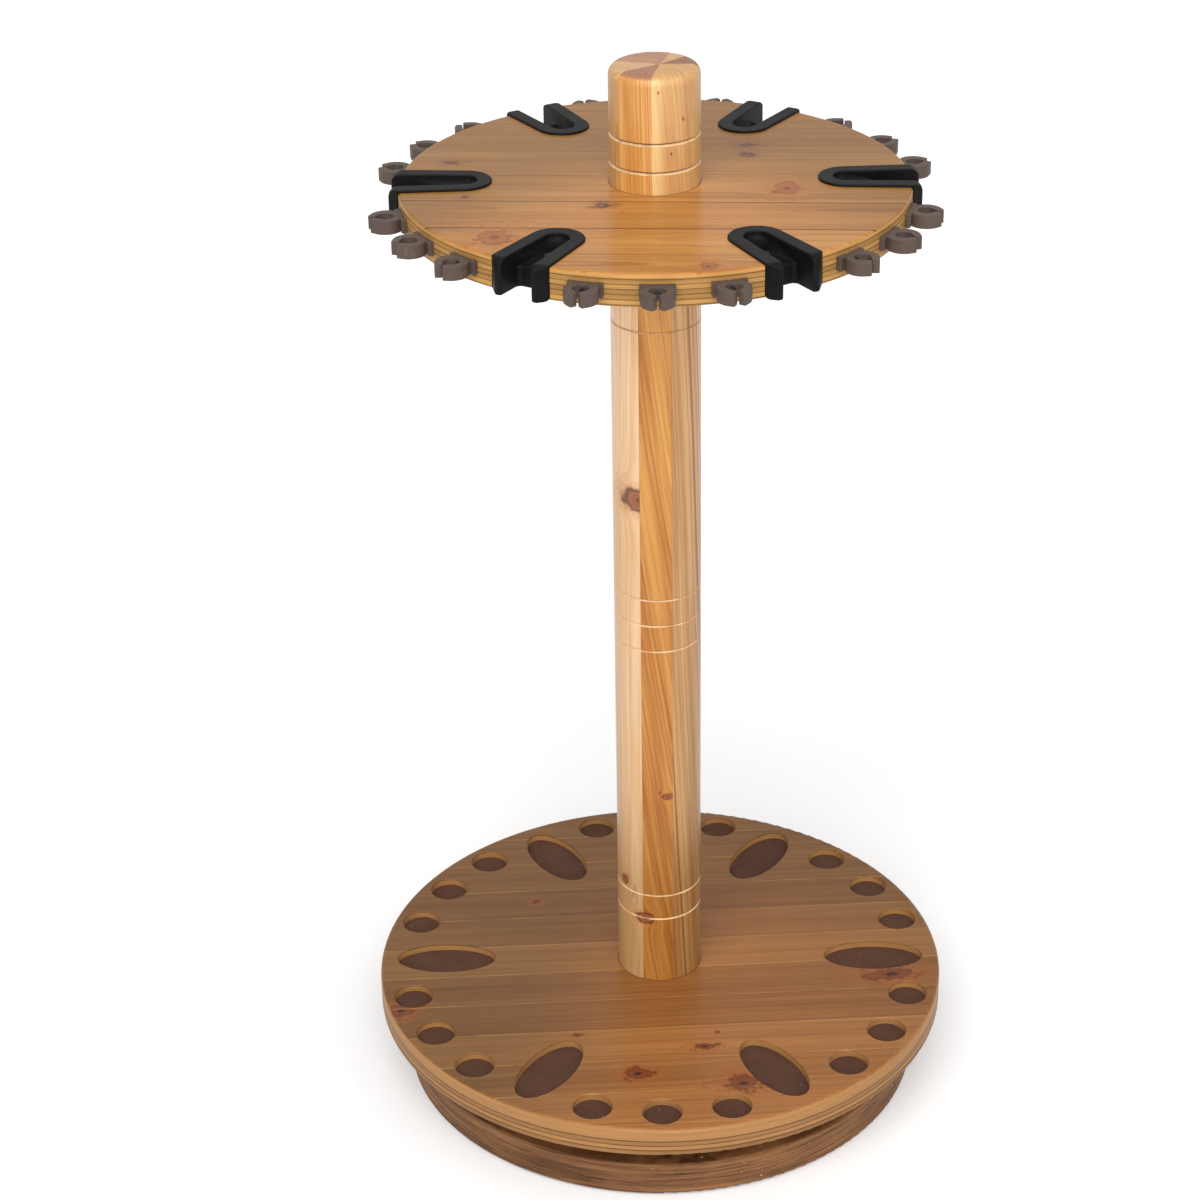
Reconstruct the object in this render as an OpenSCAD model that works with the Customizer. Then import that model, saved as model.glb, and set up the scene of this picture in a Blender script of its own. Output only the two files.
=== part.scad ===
// Spinning floor rack for fishing rods. A round wooden base turns on a ball bearing above a
// still floor disc. It carries a laminated post, a top disc with snap clips and slotted
// holders around its rim, and a turned finial. Rod butts stand in recesses in the base.
// Millimetres, +Z up, the origin in the middle of the underside, the front towards -Y.

/* [Base disc] */
// Diameter of the turning base disc
base_d = 520; // [500:5:580]
// Thickness of the turning base disc
base_t = 27.5; // [22:0.5:40]
// Round-over of the base disc's top edge
base_round = 3.5; // [1:0.5:8]
// Easing of the base disc's lower edge
base_ease = 1.5; // [0.5:0.5:4]

/* [Butt recesses] */
// Diameter of a round butt recess
cup_d = 35; // [28:0.5:40]
// Distance from the base disc's edge to the middle of a round recess
cup_inset = 26; // [24:0.5:36]
// Length of an oval butt recess, along the radius
oval_l = 92; // [70:1:110]
// Width of an oval butt recess
oval_w = 45; // [36:0.5:50]
// Distance from the base disc's edge to the middle of an oval recess
oval_inset = 61; // [60:1:75]
// Depth of a recess, from the base's top to its pad
recess_h = 6; // [3:0.5:9]
// Thickness of the pad in a recess
pad_t = 2; // [1:0.5:4]
// Chamfer around a round recess
cup_ease = 0.6; // [0.2:0.1:1.2]

/* [Floor disc and feet] */
// Diameter of the still floor disc
floor_d = 470; // [440:5:500]
// Thickness of the floor disc
floor_t = 32; // [24:1:45]
// Easing of the floor disc's edges
floor_ease = 2; // [0.5:0.5:5]
// Diameter of the spacer disc that lifts the bearing
spacer_d = 320; // [310:5:360]
// Thickness of the spacer disc
spacer_t = 20; // [18:1:30]
// Diameter of a rubber foot
foot_d = 32; // [26:1:40]
// Height of a rubber foot
foot_h = 5; // [4:0.5:8]
// Height of a foot below the floor disc
foot_proud = 2; // [1:0.5:3]
// Distance from the floor disc's edge to the middle of a foot
foot_inset = 30; // [25:1:50]

/* [Turntable bearing] */
// Radius of the ring of balls
ball_ring_r = 124; // [118:1:126]
// Diameter of a ball
ball_d = 4.8; // [4.4:0.1:5.2]
// Number of balls
ball_n = 24; // [16:1:30]
// Gap between the two rings
race_gap = 2.6; // [2.2:0.1:3]
// Height of each ring
race_h = 8.5; // [8:0.5:9]
// Height of the bearing, from the spacer to the base
bearing_h = 10; // [9.5:0.5:11]
// Width of each ring beside its balls
race_boss_w = 8.7; // [7:0.1:10]
// Width of each ring's screw flange
race_flange_w = 16; // [14:0.5:18]
// Thickness of each ring's screw flange
race_flange_t = 4; // [3:0.5:5]
// Thickness of the ball cage
cage_t = 1.4; // [1:0.1:1.6]
// Height of the ball cage
cage_h = 6; // [5.8:0.1:6.6]

/* [Post] */
// Diameter of the post
post_d = 76; // [70:1:90]
// Length of the post
post_h = 737; // [600:1:900]
// Depth of a V-groove in the post
groove_depth = 0.9; // [0.5:0.1:2]
// Width of a V-groove in the post
groove_w = 2; // [1:0.25:4]
// Distance from the post's end to the nearest groove
groove_end = 67.5; // [40:0.5:100]
// Distance between neighbouring grooves
groove_pitch = 25; // [15:0.5:40]
// Height of the middle groove above the post's foot
groove_mid = 370.5; // [290:0.5:400]

/* [Top disc] */
// Diameter of the top disc
top_d = 419; // [400:1:450]
// Thickness of the top disc
top_t = 27; // [24:0.5:36]
// Round-over of the top disc's edges
top_round = 3; // [1:0.5:5]

/* [Finial] */
// Diameter of the finial
finial_d = 75; // [70:1:90]
// Height of the finial
finial_h = 98; // [80:1:140]
// Rounding of the finial's shoulder
finial_round = 8.5; // [5:0.5:16]
// Height of the finial's lower groove above its foot
finial_groove = 18; // [12:0.5:24]
// Distance between the finial's two grooves
finial_pitch = 24; // [15:0.5:30]
// Depth of a V-groove in the finial
finial_groove_depth = 1.5; // [0.75:0.25:3]
// Width of a V-groove in the finial
finial_groove_w = 3; // [1.5:0.25:5]

/* [Rod clips] */
// Diameter of the hole that grips a rod
clip_bore = 13.4; // [10:0.2:15]
// Diameter of the clip's outer curve
clip_od = 27; // [25.4:0.2:28]
// Height of a clip
clip_h = 11.3; // [9:0.1:14]
// Distance from the top disc's face down to the clip's top
clip_drop = 7.2; // [5:0.1:8]
// Distance from the top disc's edge to the middle of the clip's hole
clip_reach = 14; // [13.8:0.1:15]
// Width of the clip's back plate
clip_plate_w = 28; // [22:0.5:32]
// Thickness of the clip's back plate
clip_plate_t = 4; // [3:0.25:5]
// Width of the clip's mouth
clip_mouth = 1; // [0.6:0.2:3]
// Distance from the middle of the clip's hole to the inner end of its mouth
clip_neck = 9.5; // [8.5:0.25:10.5]
// Angle from the mouth at which the hole starts to narrow
clip_throat_a = 40; // [32:1:42]
// Rounding of the clip's lips at the mouth
clip_lip_r = 2; // [1:0.25:2.5]

/* [Slotted holders] */
// Distance from the top disc's edge to the middle of the holder's round end
holder_in = 54; // [46:1:62]
// Radius of the holder's round end
holder_r = 22.8; // [20:0.2:25]
// Radius of the slot's round end
slot_r = 10.5; // [8:0.25:12]
// Angle by which each side of the holder's flange spreads outwards
holder_flare = 3.2; // [2.8:0.1:4]
// Angle by which each side of the slot spreads outwards
slot_flare = 2.7; // [1:0.1:3.2]
// Thickness of the holder's flange on the top disc
flange_t = 2; // [1.5:0.25:3]
// Thickness of the holder's walls and trough floor
holder_wall = 2.5; // [2:0.25:3]
// Depth of the trough below the top disc's face
trough_h = 10.5; // [8:0.5:13]
// Distance from the top disc's edge to the end of the through slot
slot_in = 17.5; // [13:0.5:24]
// Distance that the holder's lips stand out from the top disc's edge
lip_out = 7; // [5:0.5:10]
// Half the width across the lips' front faces
lip_half = 18.5; // [17.5:0.5:20]
// Radius of the lips' top front corner
lip_round = 8; // [4:0.5:9]
// Radius of the lips' lower corners
lip_corner = 4; // [2:0.5:6]
// Radius in the corners of the through slot
slot_corner = 4; // [2:0.5:6]
// Rounding of the slot's front edges, where a rod goes in
slot_mouth_r = 2.6; // [1:0.2:3.4]
// Distance that the holder reaches below the top disc
holder_low = 0.5; // [0:0.25:2]

/* [Screws] */
// Diameter of a structural wood screw
screw_d = 5; // [4:0.25:5.5]
// Length of the screws that hold the post
post_screw_l = 60; // [52:1:75]
// Radius of the circle of screws in the post
post_screw_r = 23; // [22:0.5:26]
// Depth that the spacer's screws reach into the spacer
spacer_screw_in = 14; // [9:1:16]
// Radius of the circle of screws in the spacer
spacer_screw_r = 74; // [60:1:85]
// Diameter of the small screws
small_d = 4; // [3.5:0.1:4.4]
// Length of the bearing screws
race_screw_l = 16; // [12:1:18]
// Length of a foot screw
foot_screw_l = 16; // [12:1:22]
// Length of a holder screw
holder_screw_l = 12; // [9:1:12]
// Diameter of a clip screw
clip_screw_d = 3; // [2.5:0.1:3.5]
// Length of a clip screw
clip_screw_l = 20; // [15:1:30]
// Diameter of the post's bolt
bolt_d = 10; // [8:1:12]
// Length of the post's bolt under its head
bolt_l = 90; // [70:1:110]
// Thickness of the bolt's head
bolt_head_h = 6.5; // [5:0.5:7]
// Width of the bolt's head across its flats
bolt_af = 17; // [14:1:18]
// Diameter of the bolt's washer
washer_d = 30; // [26:1:32]
// Thickness of the bolt's washer
washer_t = 2.5; // [2:0.5:3]
// Diameter of the finial's double-ended screw
stud_d = 8; // [6:0.5:10]
// Length of the double-ended screw in the finial
stud_up = 30; // [20:1:45]
// Length of the double-ended screw in the post
stud_down = 25; // [20:1:40]
// Diameter of the hole through which the inner ring's screws are driven
access_d = 16; // [12:1:20]

/* [Hidden] */
$fn = 96;

// Rod places, counted from the front: every fourth one has an oval recess and a slotted holder
bay_n = 24;
bay_step = 360 / bay_n;
holder_bays = [for (k = [0 : bay_n - 1]) if (k % 4 == 2) k];
clip_bays = [for (k = [0 : bay_n - 1]) if (k % 4 != 2) k];

// Clearances
running = 0.05;
screw_gap = 0.1;
seat_gap = 0.2;
fit_gap = 0.3;
over = 1;

// Heights of the stack
floor_z = foot_proud;
spacer_z = floor_z + floor_t;
bearing_z = spacer_z + spacer_t;
base_z = bearing_z + bearing_h;
post_z = base_z + base_t;
top_z = post_z + post_h;
finial_z = top_z + top_t;

// Bearing
ball_z = bearing_z + bearing_h / 2;
outer_in_r = ball_ring_r + race_gap / 2;
outer_out_r = outer_in_r + race_boss_w + race_flange_w;
inner_out_r = ball_ring_r - race_gap / 2;
inner_in_r = inner_out_r - race_boss_w - race_flange_w;
outer_screw_r = outer_out_r - race_flange_w / 2;
inner_screw_r = inner_in_r + race_flange_w / 2;
race_screw_n = 6;

// Small fixings
foot_n = 6;
foot_ring_r = floor_d / 2 - foot_inset;
foot_head_in = 0.8;
spacer_screw_n = 6;
spacer_screw_l = floor_t + spacer_screw_in;
post_screw_n = 3;
pan_head_d = 2;
pan_head_h = 0.55;
recess_w = 0.18;
recess_l = 1.05;
recess_deep = 0.3;
foot_head_h = small_d * pan_head_h;
tip_d = 0.4;
bolt_head_in = 7.5;

// Recesses
cup_r = base_d / 2 - cup_inset;
oval_r = base_d / 2 - oval_inset;
pad_z = post_z - recess_h - pad_t;

// Top disc and what it carries
rim_r = top_d / 2;
clip_z = finial_z - clip_drop - clip_h;
clip_r = rim_r + clip_reach;
clip_head_in = 1.2;
holder_r_mid = rim_r - holder_in;
holder_face = finial_z + flange_t;
trough_z = finial_z - trough_h;
holder_z = top_z - holder_low;
slot_end_r = rim_r - slot_in;
channel_r = slot_r + holder_wall;
notch_r = channel_r + fit_gap;
holder_screw_r = holder_r_mid + slot_r;

wood = [0.80, 0.60, 0.38];
pale_wood = [0.88, 0.72, 0.48];
dark_wood = [0.55, 0.40, 0.27];
steel = [0.66, 0.67, 0.69];
black = [0.14, 0.14, 0.15];
grey_brown = [0.40, 0.36, 0.34];
pad_brown = [0.37, 0.27, 0.24];

// Turns a piece from the X axis to its rod place
module at_bay(k) {
    rotate([0, 0, k * bay_step - 90]) children();
}

// Copies a piece around the post's axis
module around(n) {
    for (i = [0 : n - 1]) rotate([0, 0, i * 360 / n]) children();
}

// Disc with rounded edges above and below
module eased_disc(d, t, top_e, low_e) {
    r = d / 2;
    rotate_extrude() {
        translate([0, low_e]) square([r, t - top_e - low_e]);
        square([r - low_e, t - top_e]);
        translate([0, low_e]) square([r - top_e, t - low_e]);
        intersection() {
            translate([r - top_e, t - top_e]) circle(top_e);
            square([r, t]);
        }
        intersection() {
            translate([r - low_e, low_e]) circle(low_e);
            square([r, t]);
        }
    }
}

// Flat ring between two radii
module ring(r_in, r_out, h) {
    difference() {
        cylinder(r = r_out, h = h);
        translate([0, 0, -over]) cylinder(r = r_in, h = h + 2 * over);
    }
}

// Ellipse with its long axis along X
module oval(l, w) {
    scale([l / w, 1]) circle(d = w);
}

// Cross for the driver in a screw's head
module cross_recess(d) {
    for (a = [0, 90])
        rotate([0, 0, a])
            translate([-d * recess_l / 2, -d * recess_w / 2, -d * recess_deep])
                cube([d * recess_l, d * recess_w, d]);
}

// Countersunk screw: its face at the origin, its point down
module flat_screw(d, l) {
    difference() {
        union() {
            translate([0, 0, -d / 2]) cylinder(d1 = d, d2 = 2 * d, h = d / 2);
            translate([0, 0, d - l]) cylinder(d = d, h = l - d * 1.5);
            translate([0, 0, -l]) cylinder(d1 = tip_d, d2 = d, h = d);
        }
        cross_recess(d);
    }
}

// Hole for a countersunk screw, with a flat end
module flat_screw_hole(d, l) {
    hole_d = d + 2 * screw_gap;
    translate([0, 0, -d / 2]) cylinder(d1 = hole_d, d2 = hole_d + d, h = d / 2);
    translate([0, 0, -screw_gap / 2]) cylinder(d = hole_d + d, h = over);
    translate([0, 0, -l - screw_gap]) cylinder(d = hole_d, h = l);
}

// Pan-head screw: the underside of its head at the origin, its point down
module pan_screw(d, l) {
    head_h = d * pan_head_h;
    difference() {
        union() {
            cylinder(d = d * pan_head_d, h = head_h);
            translate([0, 0, d - l]) cylinder(d = d, h = l - d);
            translate([0, 0, -l]) cylinder(d1 = tip_d, d2 = d, h = d);
        }
        translate([0, 0, head_h]) cross_recess(d);
    }
}

// Hole for the shank of a pan-head screw
module pan_screw_hole(d, l) {
    translate([0, 0, -l - screw_gap]) cylinder(d = d + 2 * screw_gap, h = l + over);
}

// Places of the screws, shared by the screws and their holes

module at_feet() {
    around(foot_n) translate([foot_ring_r, 0, 0]) children();
}

module at_foot_screws() {
    at_feet() translate([0, 0, foot_head_in + foot_head_h]) rotate([180, 0, 0]) children();
}

module at_spacer_screws() {
    around(spacer_screw_n) translate([spacer_screw_r, 0, floor_z]) rotate([180, 0, 0]) children();
}

module at_outer_ring_screws() {
    around(race_screw_n) translate([outer_screw_r, 0, bearing_z + race_flange_t]) children();
}

module at_inner_ring_screws() {
    around(race_screw_n)
        translate([inner_screw_r, 0, base_z - race_flange_t]) rotate([180, 0, 0]) children();
}

module at_post_foot_screws() {
    around(post_screw_n) translate([post_screw_r, 0, base_z]) rotate([180, 0, 0]) children();
}

module at_post_top_screws() {
    around(post_screw_n) translate([post_screw_r, 0, finial_z]) children();
}

module at_holder_screws() {
    for (k = holder_bays) at_bay(k) translate([holder_screw_r, 0, trough_z]) children();
}

module at_clip_screws() {
    for (k = clip_bays) at_bay(k) at_clip_screw() children();
}

// The clip's screw lies along the radius, its head sunk in the wall behind the hole
module at_clip_screw() {
    translate([clip_r - clip_bore / 2 - clip_head_in - clip_screw_d * pan_head_h, 0, clip_z + clip_h / 2])
        rotate([0, 90, 0]) children();
}

// Still parts

module floor_disc() {
    color(dark_wood)
    difference() {
        translate([0, 0, floor_z]) eased_disc(floor_d, floor_t, floor_ease, floor_ease);
        at_feet() translate([0, 0, floor_z - over])
            cylinder(d = foot_d + 2 * seat_gap, h = foot_h - foot_proud + over);
        at_foot_screws() pan_screw_hole(small_d, foot_screw_l);
        at_spacer_screws() flat_screw_hole(screw_d, spacer_screw_l);
        translate([inner_screw_r, 0, floor_z - over]) cylinder(d = access_d, h = floor_t + 2 * over);
    }
}

module rubber_feet() {
    color(black)
    at_feet() difference() {
        union() {
            translate([0, 0, foot_proud / 2]) cylinder(d = foot_d, h = foot_h - foot_proud / 2);
            cylinder(d1 = foot_d - foot_proud, d2 = foot_d, h = foot_proud / 2);
        }
        translate([0, 0, -over])
            cylinder(d = small_d * pan_head_d + 2 * fit_gap, h = foot_head_in + foot_head_h + over);
        translate([0, 0, -over]) cylinder(d = small_d + 2 * screw_gap, h = foot_h + 2 * over);
    }
}

module foot_screws() {
    color(steel) at_foot_screws() pan_screw(small_d, foot_screw_l);
}

module spacer_disc() {
    color(dark_wood)
    difference() {
        translate([0, 0, spacer_z]) cylinder(d = spacer_d, h = spacer_t);
        at_spacer_screws() flat_screw_hole(screw_d, spacer_screw_l);
        at_outer_ring_screws() flat_screw_hole(small_d, race_screw_l);
        translate([inner_screw_r, 0, spacer_z - over]) cylinder(d = access_d, h = spacer_t + 2 * over);
    }
}

module spacer_screws() {
    color(steel) at_spacer_screws() flat_screw(screw_d, spacer_screw_l);
}

// Still ring of the bearing, its raceway facing inwards
module bearing_outer_ring() {
    color(steel)
    difference() {
        union() {
            translate([0, 0, bearing_z]) ring(outer_in_r, outer_in_r + race_boss_w, race_h);
            translate([0, 0, bearing_z]) ring(outer_in_r + race_boss_w / 2, outer_out_r, race_flange_t);
        }
        raceway();
        at_outer_ring_screws() flat_screw_hole(small_d, race_screw_l);
    }
}

module outer_ring_screws() {
    color(steel) at_outer_ring_screws() flat_screw(small_d, race_screw_l);
}

// Round groove in which the balls run
module raceway() {
    translate([0, 0, ball_z]) rotate_extrude() translate([ball_ring_r, 0]) circle(d = ball_d + 2 * running);
}

// Ball cage, which turns at half the speed of the base

module ball_cage() {
    color(black)
    difference() {
        translate([0, 0, ball_z - cage_h / 2])
            ring(ball_ring_r - cage_t / 2, ball_ring_r + cage_t / 2, cage_h);
        around(ball_n) translate([ball_ring_r - race_gap, 0, ball_z])
            rotate([0, 90, 0]) cylinder(d = ball_d + 2 * running, h = 2 * race_gap);
    }
}

module bearing_balls() {
    color(steel) around(ball_n) translate([ball_ring_r, 0, ball_z]) sphere(d = ball_d);
}

// Turning parts

// Ring of the bearing under the base, its raceway facing outwards
module bearing_inner_ring() {
    color(steel)
    difference() {
        union() {
            translate([0, 0, base_z - race_h]) ring(inner_out_r - race_boss_w, inner_out_r, race_h);
            translate([0, 0, base_z - race_flange_t])
                ring(inner_in_r, inner_out_r - race_boss_w / 2, race_flange_t);
        }
        raceway();
        at_inner_ring_screws() flat_screw_hole(small_d, race_screw_l);
    }
}

module inner_ring_screws() {
    color(steel) at_inner_ring_screws() flat_screw(small_d, race_screw_l);
}

// Base with stepped recesses: the pad lies in the narrower step
module base_disc() {
    color(wood)
    difference() {
        translate([0, 0, base_z]) eased_disc(base_d, base_t, base_round, base_ease);
        for (k = clip_bays) at_bay(k) translate([cup_r, 0, 0]) cup_cut();
        for (k = holder_bays) at_bay(k) translate([oval_r, 0, 0]) oval_cut();
        at_inner_ring_screws() flat_screw_hole(small_d, race_screw_l);
        at_post_foot_screws() flat_screw_hole(screw_d, post_screw_l);
        translate([0, 0, base_z - over])
            cylinder(d = washer_d + 2 * fit_gap, h = washer_t + bolt_head_in + over);
        translate([0, 0, base_z]) cylinder(d = bolt_d + 2 * screw_gap, h = base_t + over);
    }
}

module cup_cut() {
    translate([0, 0, pad_z]) cylinder(d = cup_d - 2 * seat_gap, h = pad_t + over);
    translate([0, 0, pad_z + pad_t]) cylinder(d = cup_d, h = recess_h + over);
    translate([0, 0, post_z - cup_ease])
        cylinder(d1 = cup_d, d2 = cup_d + 2 * (cup_ease + over), h = cup_ease + over);
}

module oval_cut() {
    translate([0, 0, pad_z]) linear_extrude(pad_t + over)
        oval(oval_l - 2 * seat_gap, oval_w - 2 * seat_gap);
    translate([0, 0, pad_z + pad_t]) linear_extrude(recess_h + over) oval(oval_l, oval_w);
}

module round_butt_pads() {
    color(pad_brown)
    for (k = clip_bays) at_bay(k) translate([cup_r, 0, pad_z])
        cylinder(d = cup_d - 4 * seat_gap, h = pad_t);
}

module oval_butt_pads() {
    color(pad_brown)
    for (k = holder_bays) at_bay(k) translate([oval_r, 0, pad_z]) linear_extrude(pad_t)
        oval(oval_l - 4 * seat_gap, oval_w - 4 * seat_gap);
}

// Heights of the post's grooves: two near each end and three in the middle
post_grooves = [groove_end, groove_end + groove_pitch,
                groove_mid - groove_pitch, groove_mid, groove_mid + groove_pitch,
                post_h - groove_end - groove_pitch, post_h - groove_end];

// Points of V-grooves of width w and depth deep in a piece of radius r
function grooved(r, heights, w, deep) =
    [for (g = heights) each [[r, g - w / 2], [r - deep, g], [r, g + w / 2]]];

module post() {
    r = post_d / 2;
    color(pale_wood)
    difference() {
        translate([0, 0, post_z]) rotate_extrude()
            polygon(concat([[0, 0], [r, 0]], grooved(r, post_grooves, groove_w, groove_depth),
                           [[r, post_h], [0, post_h]]));
        translate([0, 0, post_z - over])
            cylinder(d = bolt_d + 2 * screw_gap, h = bolt_l - base_t + bolt_head_in + over + screw_gap);
        at_post_foot_screws() flat_screw_hole(screw_d, post_screw_l);
        at_post_top_screws() flat_screw_hole(screw_d, post_screw_l);
        translate([0, 0, top_z - stud_down - screw_gap])
            cylinder(d = stud_d + 2 * screw_gap, h = stud_down + over);
    }
}

// Hexagon-head wood bolt that draws the post down on the base
module post_bolt() {
    head_z = base_z + bolt_head_in;
    color(steel) {
        translate([0, 0, head_z - bolt_head_h]) cylinder(d = bolt_af / cos(30), h = bolt_head_h, $fn = 6);
        translate([0, 0, head_z - over]) cylinder(d = bolt_d, h = bolt_l - bolt_d + over);
        translate([0, 0, head_z + bolt_l - bolt_d]) cylinder(d1 = bolt_d, d2 = tip_d, h = bolt_d);
    }
}

module post_washer() {
    color(steel) translate([0, 0, base_z + bolt_head_in])
        ring(bolt_d / 2 + screw_gap, washer_d / 2, washer_t);
}

module post_foot_screws() {
    color(steel) at_post_foot_screws() flat_screw(screw_d, post_screw_l);
}

module post_top_screws() {
    color(steel) at_post_top_screws() flat_screw(screw_d, post_screw_l);
}

module top_disc() {
    color(wood)
    difference() {
        translate([0, 0, top_z]) eased_disc(top_d, top_t, top_round, top_round);
        for (k = holder_bays) at_bay(k) holder_notch();
        at_holder_screws() pan_screw_hole(small_d, holder_screw_l);
        at_clip_screws() pan_screw_hole(clip_screw_d, clip_screw_l);
        at_post_top_screws() flat_screw_hole(screw_d, post_screw_l);
        translate([0, 0, top_z - over]) cylinder(d = stud_d + 2 * screw_gap, h = top_t + 2 * over);
    }
}

// Half width of an outline with a round end of radius r and sides flared by angle a, at distance x
function flared_half(r, x, a) = r / cos(a) + (x - holder_r_mid) * tan(a);

// Round inner end whose sides spread outwards as far as x_end
module flared(r, x_end, a) {
    end_y = flared_half(r, x_end, a);
    reach = x_end - holder_r_mid;
    translate([holder_r_mid, 0]) {
        circle(r);
        polygon([[-r * sin(a), r * cos(a)], [-r * sin(a), -r * cos(a)], [reach, -end_y], [reach, end_y]]);
    }
}

// The part of the slot's outline beyond distance x_in, with inner corners of radius c
module slot_outline(r, x_in, c, x_end) {
    bend_y = flared_half(r, x_in + c, slot_flare) - c;
    intersection() {
        flared(r, x_end, slot_flare);
        translate([x_in, 0]) {
            translate([c, -2 * r]) square([x_end - x_in, 4 * r]);
            translate([0, -bend_y]) square([c + over, 2 * bend_y]);
            for (s = [-1, 1]) translate([c, s * bend_y]) circle(c);
        }
    }
}

// Cut in the top disc: a pocket for the trough and a notch right through for the slot
module holder_notch() {
    x_end = rim_r + over;
    translate([0, 0, trough_z - holder_wall - fit_gap])
        linear_extrude(top_t) flared(notch_r, x_end, slot_flare);
    translate([0, 0, top_z - over]) linear_extrude(top_t + 2 * over)
        slot_outline(notch_r, slot_end_r - holder_wall - fit_gap, slot_corner + holder_wall, x_end);
}

// Moulded liner: a flange on the disc, a trough, a through slot and two lips at the rim
module rod_holder(i) {
    front = rim_r + lip_out;
    color(black) at_bay(holder_bays[i - 1])
    difference() {
        union() {
            translate([0, 0, finial_z]) linear_extrude(flange_t)
                flared(holder_r, rim_r - lip_out, holder_flare);
            translate([0, 0, trough_z - holder_wall])
                linear_extrude(trough_h + holder_wall + flange_t / 2)
                flared(channel_r, rim_r, slot_flare);
            translate([0, 0, holder_z]) linear_extrude(holder_face - holder_z - flange_t / 2)
                slot_outline(channel_r, slot_end_r - holder_wall, slot_corner + holder_wall, rim_r);
            holder_lips(front);
        }
        translate([0, 0, trough_z]) linear_extrude(trough_h + flange_t + over)
            flared(slot_r, front + over, slot_flare);
        translate([0, 0, holder_z - over]) linear_extrude(trough_z - holder_z + 2 * over)
            slot_outline(slot_r, slot_end_r, slot_corner, front + over);
        translate([0, 0, holder_z - over]) linear_extrude(holder_face - holder_z + 2 * over)
            slot_mouth(front);
        translate([holder_screw_r, 0, trough_z]) pan_screw_hole(small_d, holder_screw_l);
    }
}

// What rounds the slot's two front edges: the corners outside a circle tangent to slot and front
module slot_mouth(front) {
    mid_x = front - slot_mouth_r;
    mid_y = flared_half(slot_r + slot_mouth_r, mid_x, slot_flare);
    wall = [mid_x + slot_mouth_r * sin(slot_flare), mid_y - slot_mouth_r * cos(slot_flare)];
    for (s = [0, 1]) mirror([0, s, 0]) difference() {
        polygon([[mid_x, mid_y], wall, [wall.x, 0], [front + over, 0], [front + over, mid_y]]);
        translate([mid_x, mid_y]) circle(slot_mouth_r);
    }
}

// Lips that wrap the disc's edge, rounded over the top and at the lower corners
module holder_lips(front) {
    back = rim_r - 2 * lip_out;
    bevel_x = rim_r - over;
    back_y = flared_half(holder_r, back, holder_flare);
    bevel_y = flared_half(holder_r, bevel_x, holder_flare);
    tall = holder_face - holder_z;
    difference() {
        intersection() {
            translate([0, 0, holder_z]) linear_extrude(tall)
                polygon([[back, back_y], [back, -back_y], [bevel_x, -bevel_y],
                         [front, -lip_half], [front, lip_half], [bevel_x, bevel_y]]);
            translate([0, holder_r * 2, holder_z]) rotate([90, 0, 0]) linear_extrude(holder_r * 4) {
                translate([back, 0]) square([front - back, tall - lip_round]);
                translate([back, 0]) square([front - back - lip_round, tall]);
                translate([front - lip_round, tall - lip_round]) circle(lip_round);
            }
            translate([back, 0, holder_z]) rotate([90, 0, 90]) linear_extrude(front - back) {
                translate([-bevel_y, lip_corner]) square([2 * bevel_y, tall]);
                translate([lip_corner - bevel_y, 0]) square([2 * (bevel_y - lip_corner), tall]);
                for (s = [-1, 1]) translate([s * (bevel_y - lip_corner), lip_corner]) circle(lip_corner);
            }
        }
        translate([0, 0, top_z - over - holder_low])
            cylinder(r = rim_r + screw_gap, h = top_t + over + holder_low);
    }
}

module holder_screws() {
    color(steel) at_holder_screws() pan_screw(small_d, holder_screw_l);
}

// Outline of a clip: a back plate and a thick ring with a hole that narrows to the mouth
module clip_outline() {
    r = clip_od / 2;
    hole_r = clip_bore / 2;
    gap = clip_mouth / 2;
    neck = [clip_neck, gap];
    throat = hole_r * [cos(clip_throat_a), sin(clip_throat_a)];
    along = (throat - neck) / norm(throat - neck);
    inside = neck - (neck * along) * along;
    lip_y = gap + clip_lip_r;
    lip_x = r - clip_lip_r;
    translate([clip_r, 0]) {
        difference() {
            circle(r);
            circle(hole_r);
            polygon([[inside.x, -inside.y], [neck.x, -neck.y], [lip_x, -gap], [lip_x, -lip_y],
                     [r + over, -lip_y], [r + over, lip_y], [lip_x, lip_y], [lip_x, gap],
                     neck, inside]);
        }
        for (s = [-1, 1]) translate([lip_x, s * lip_y]) circle(clip_lip_r);
    }
    translate([rim_r - over, -clip_plate_w / 2]) square([clip_plate_t + over, clip_plate_w]);
}

// C-shaped grip on a back plate that follows the disc's edge
module rod_clip(i) {
    color(grey_brown) at_bay(clip_bays[i - 1])
    difference() {
        translate([0, 0, clip_z]) linear_extrude(clip_h) clip_outline();
        translate([0, 0, clip_z - over]) cylinder(r = rim_r, h = clip_h + 2 * over);
        at_clip_screw() {
            pan_screw_hole(clip_screw_d, clip_screw_l);
            cylinder(d = clip_screw_d * pan_head_d + 2 * screw_gap, h = clip_bore / 2);
        }
    }
}

module clip_screws() {
    color(steel) at_clip_screws() pan_screw(clip_screw_d, clip_screw_l);
}

// Turned finial with a rounded shoulder and two grooves
module finial() {
    r = finial_d / 2;
    heights = [finial_groove, finial_groove + finial_pitch];
    color(pale_wood)
    difference() {
        translate([0, 0, finial_z]) rotate_extrude() {
            polygon(concat([[0, 0], [r, 0]], grooved(r, heights, finial_groove_w, finial_groove_depth),
                           [[r, finial_h - finial_round], [0, finial_h - finial_round]]));
            square([r - finial_round, finial_h]);
            intersection() {
                translate([r - finial_round, finial_h - finial_round]) circle(finial_round);
                square([r, finial_h]);
            }
        }
        translate([0, 0, finial_z - over])
            cylinder(d = stud_d + 2 * screw_gap, h = stud_up + over + screw_gap);
    }
}

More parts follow.
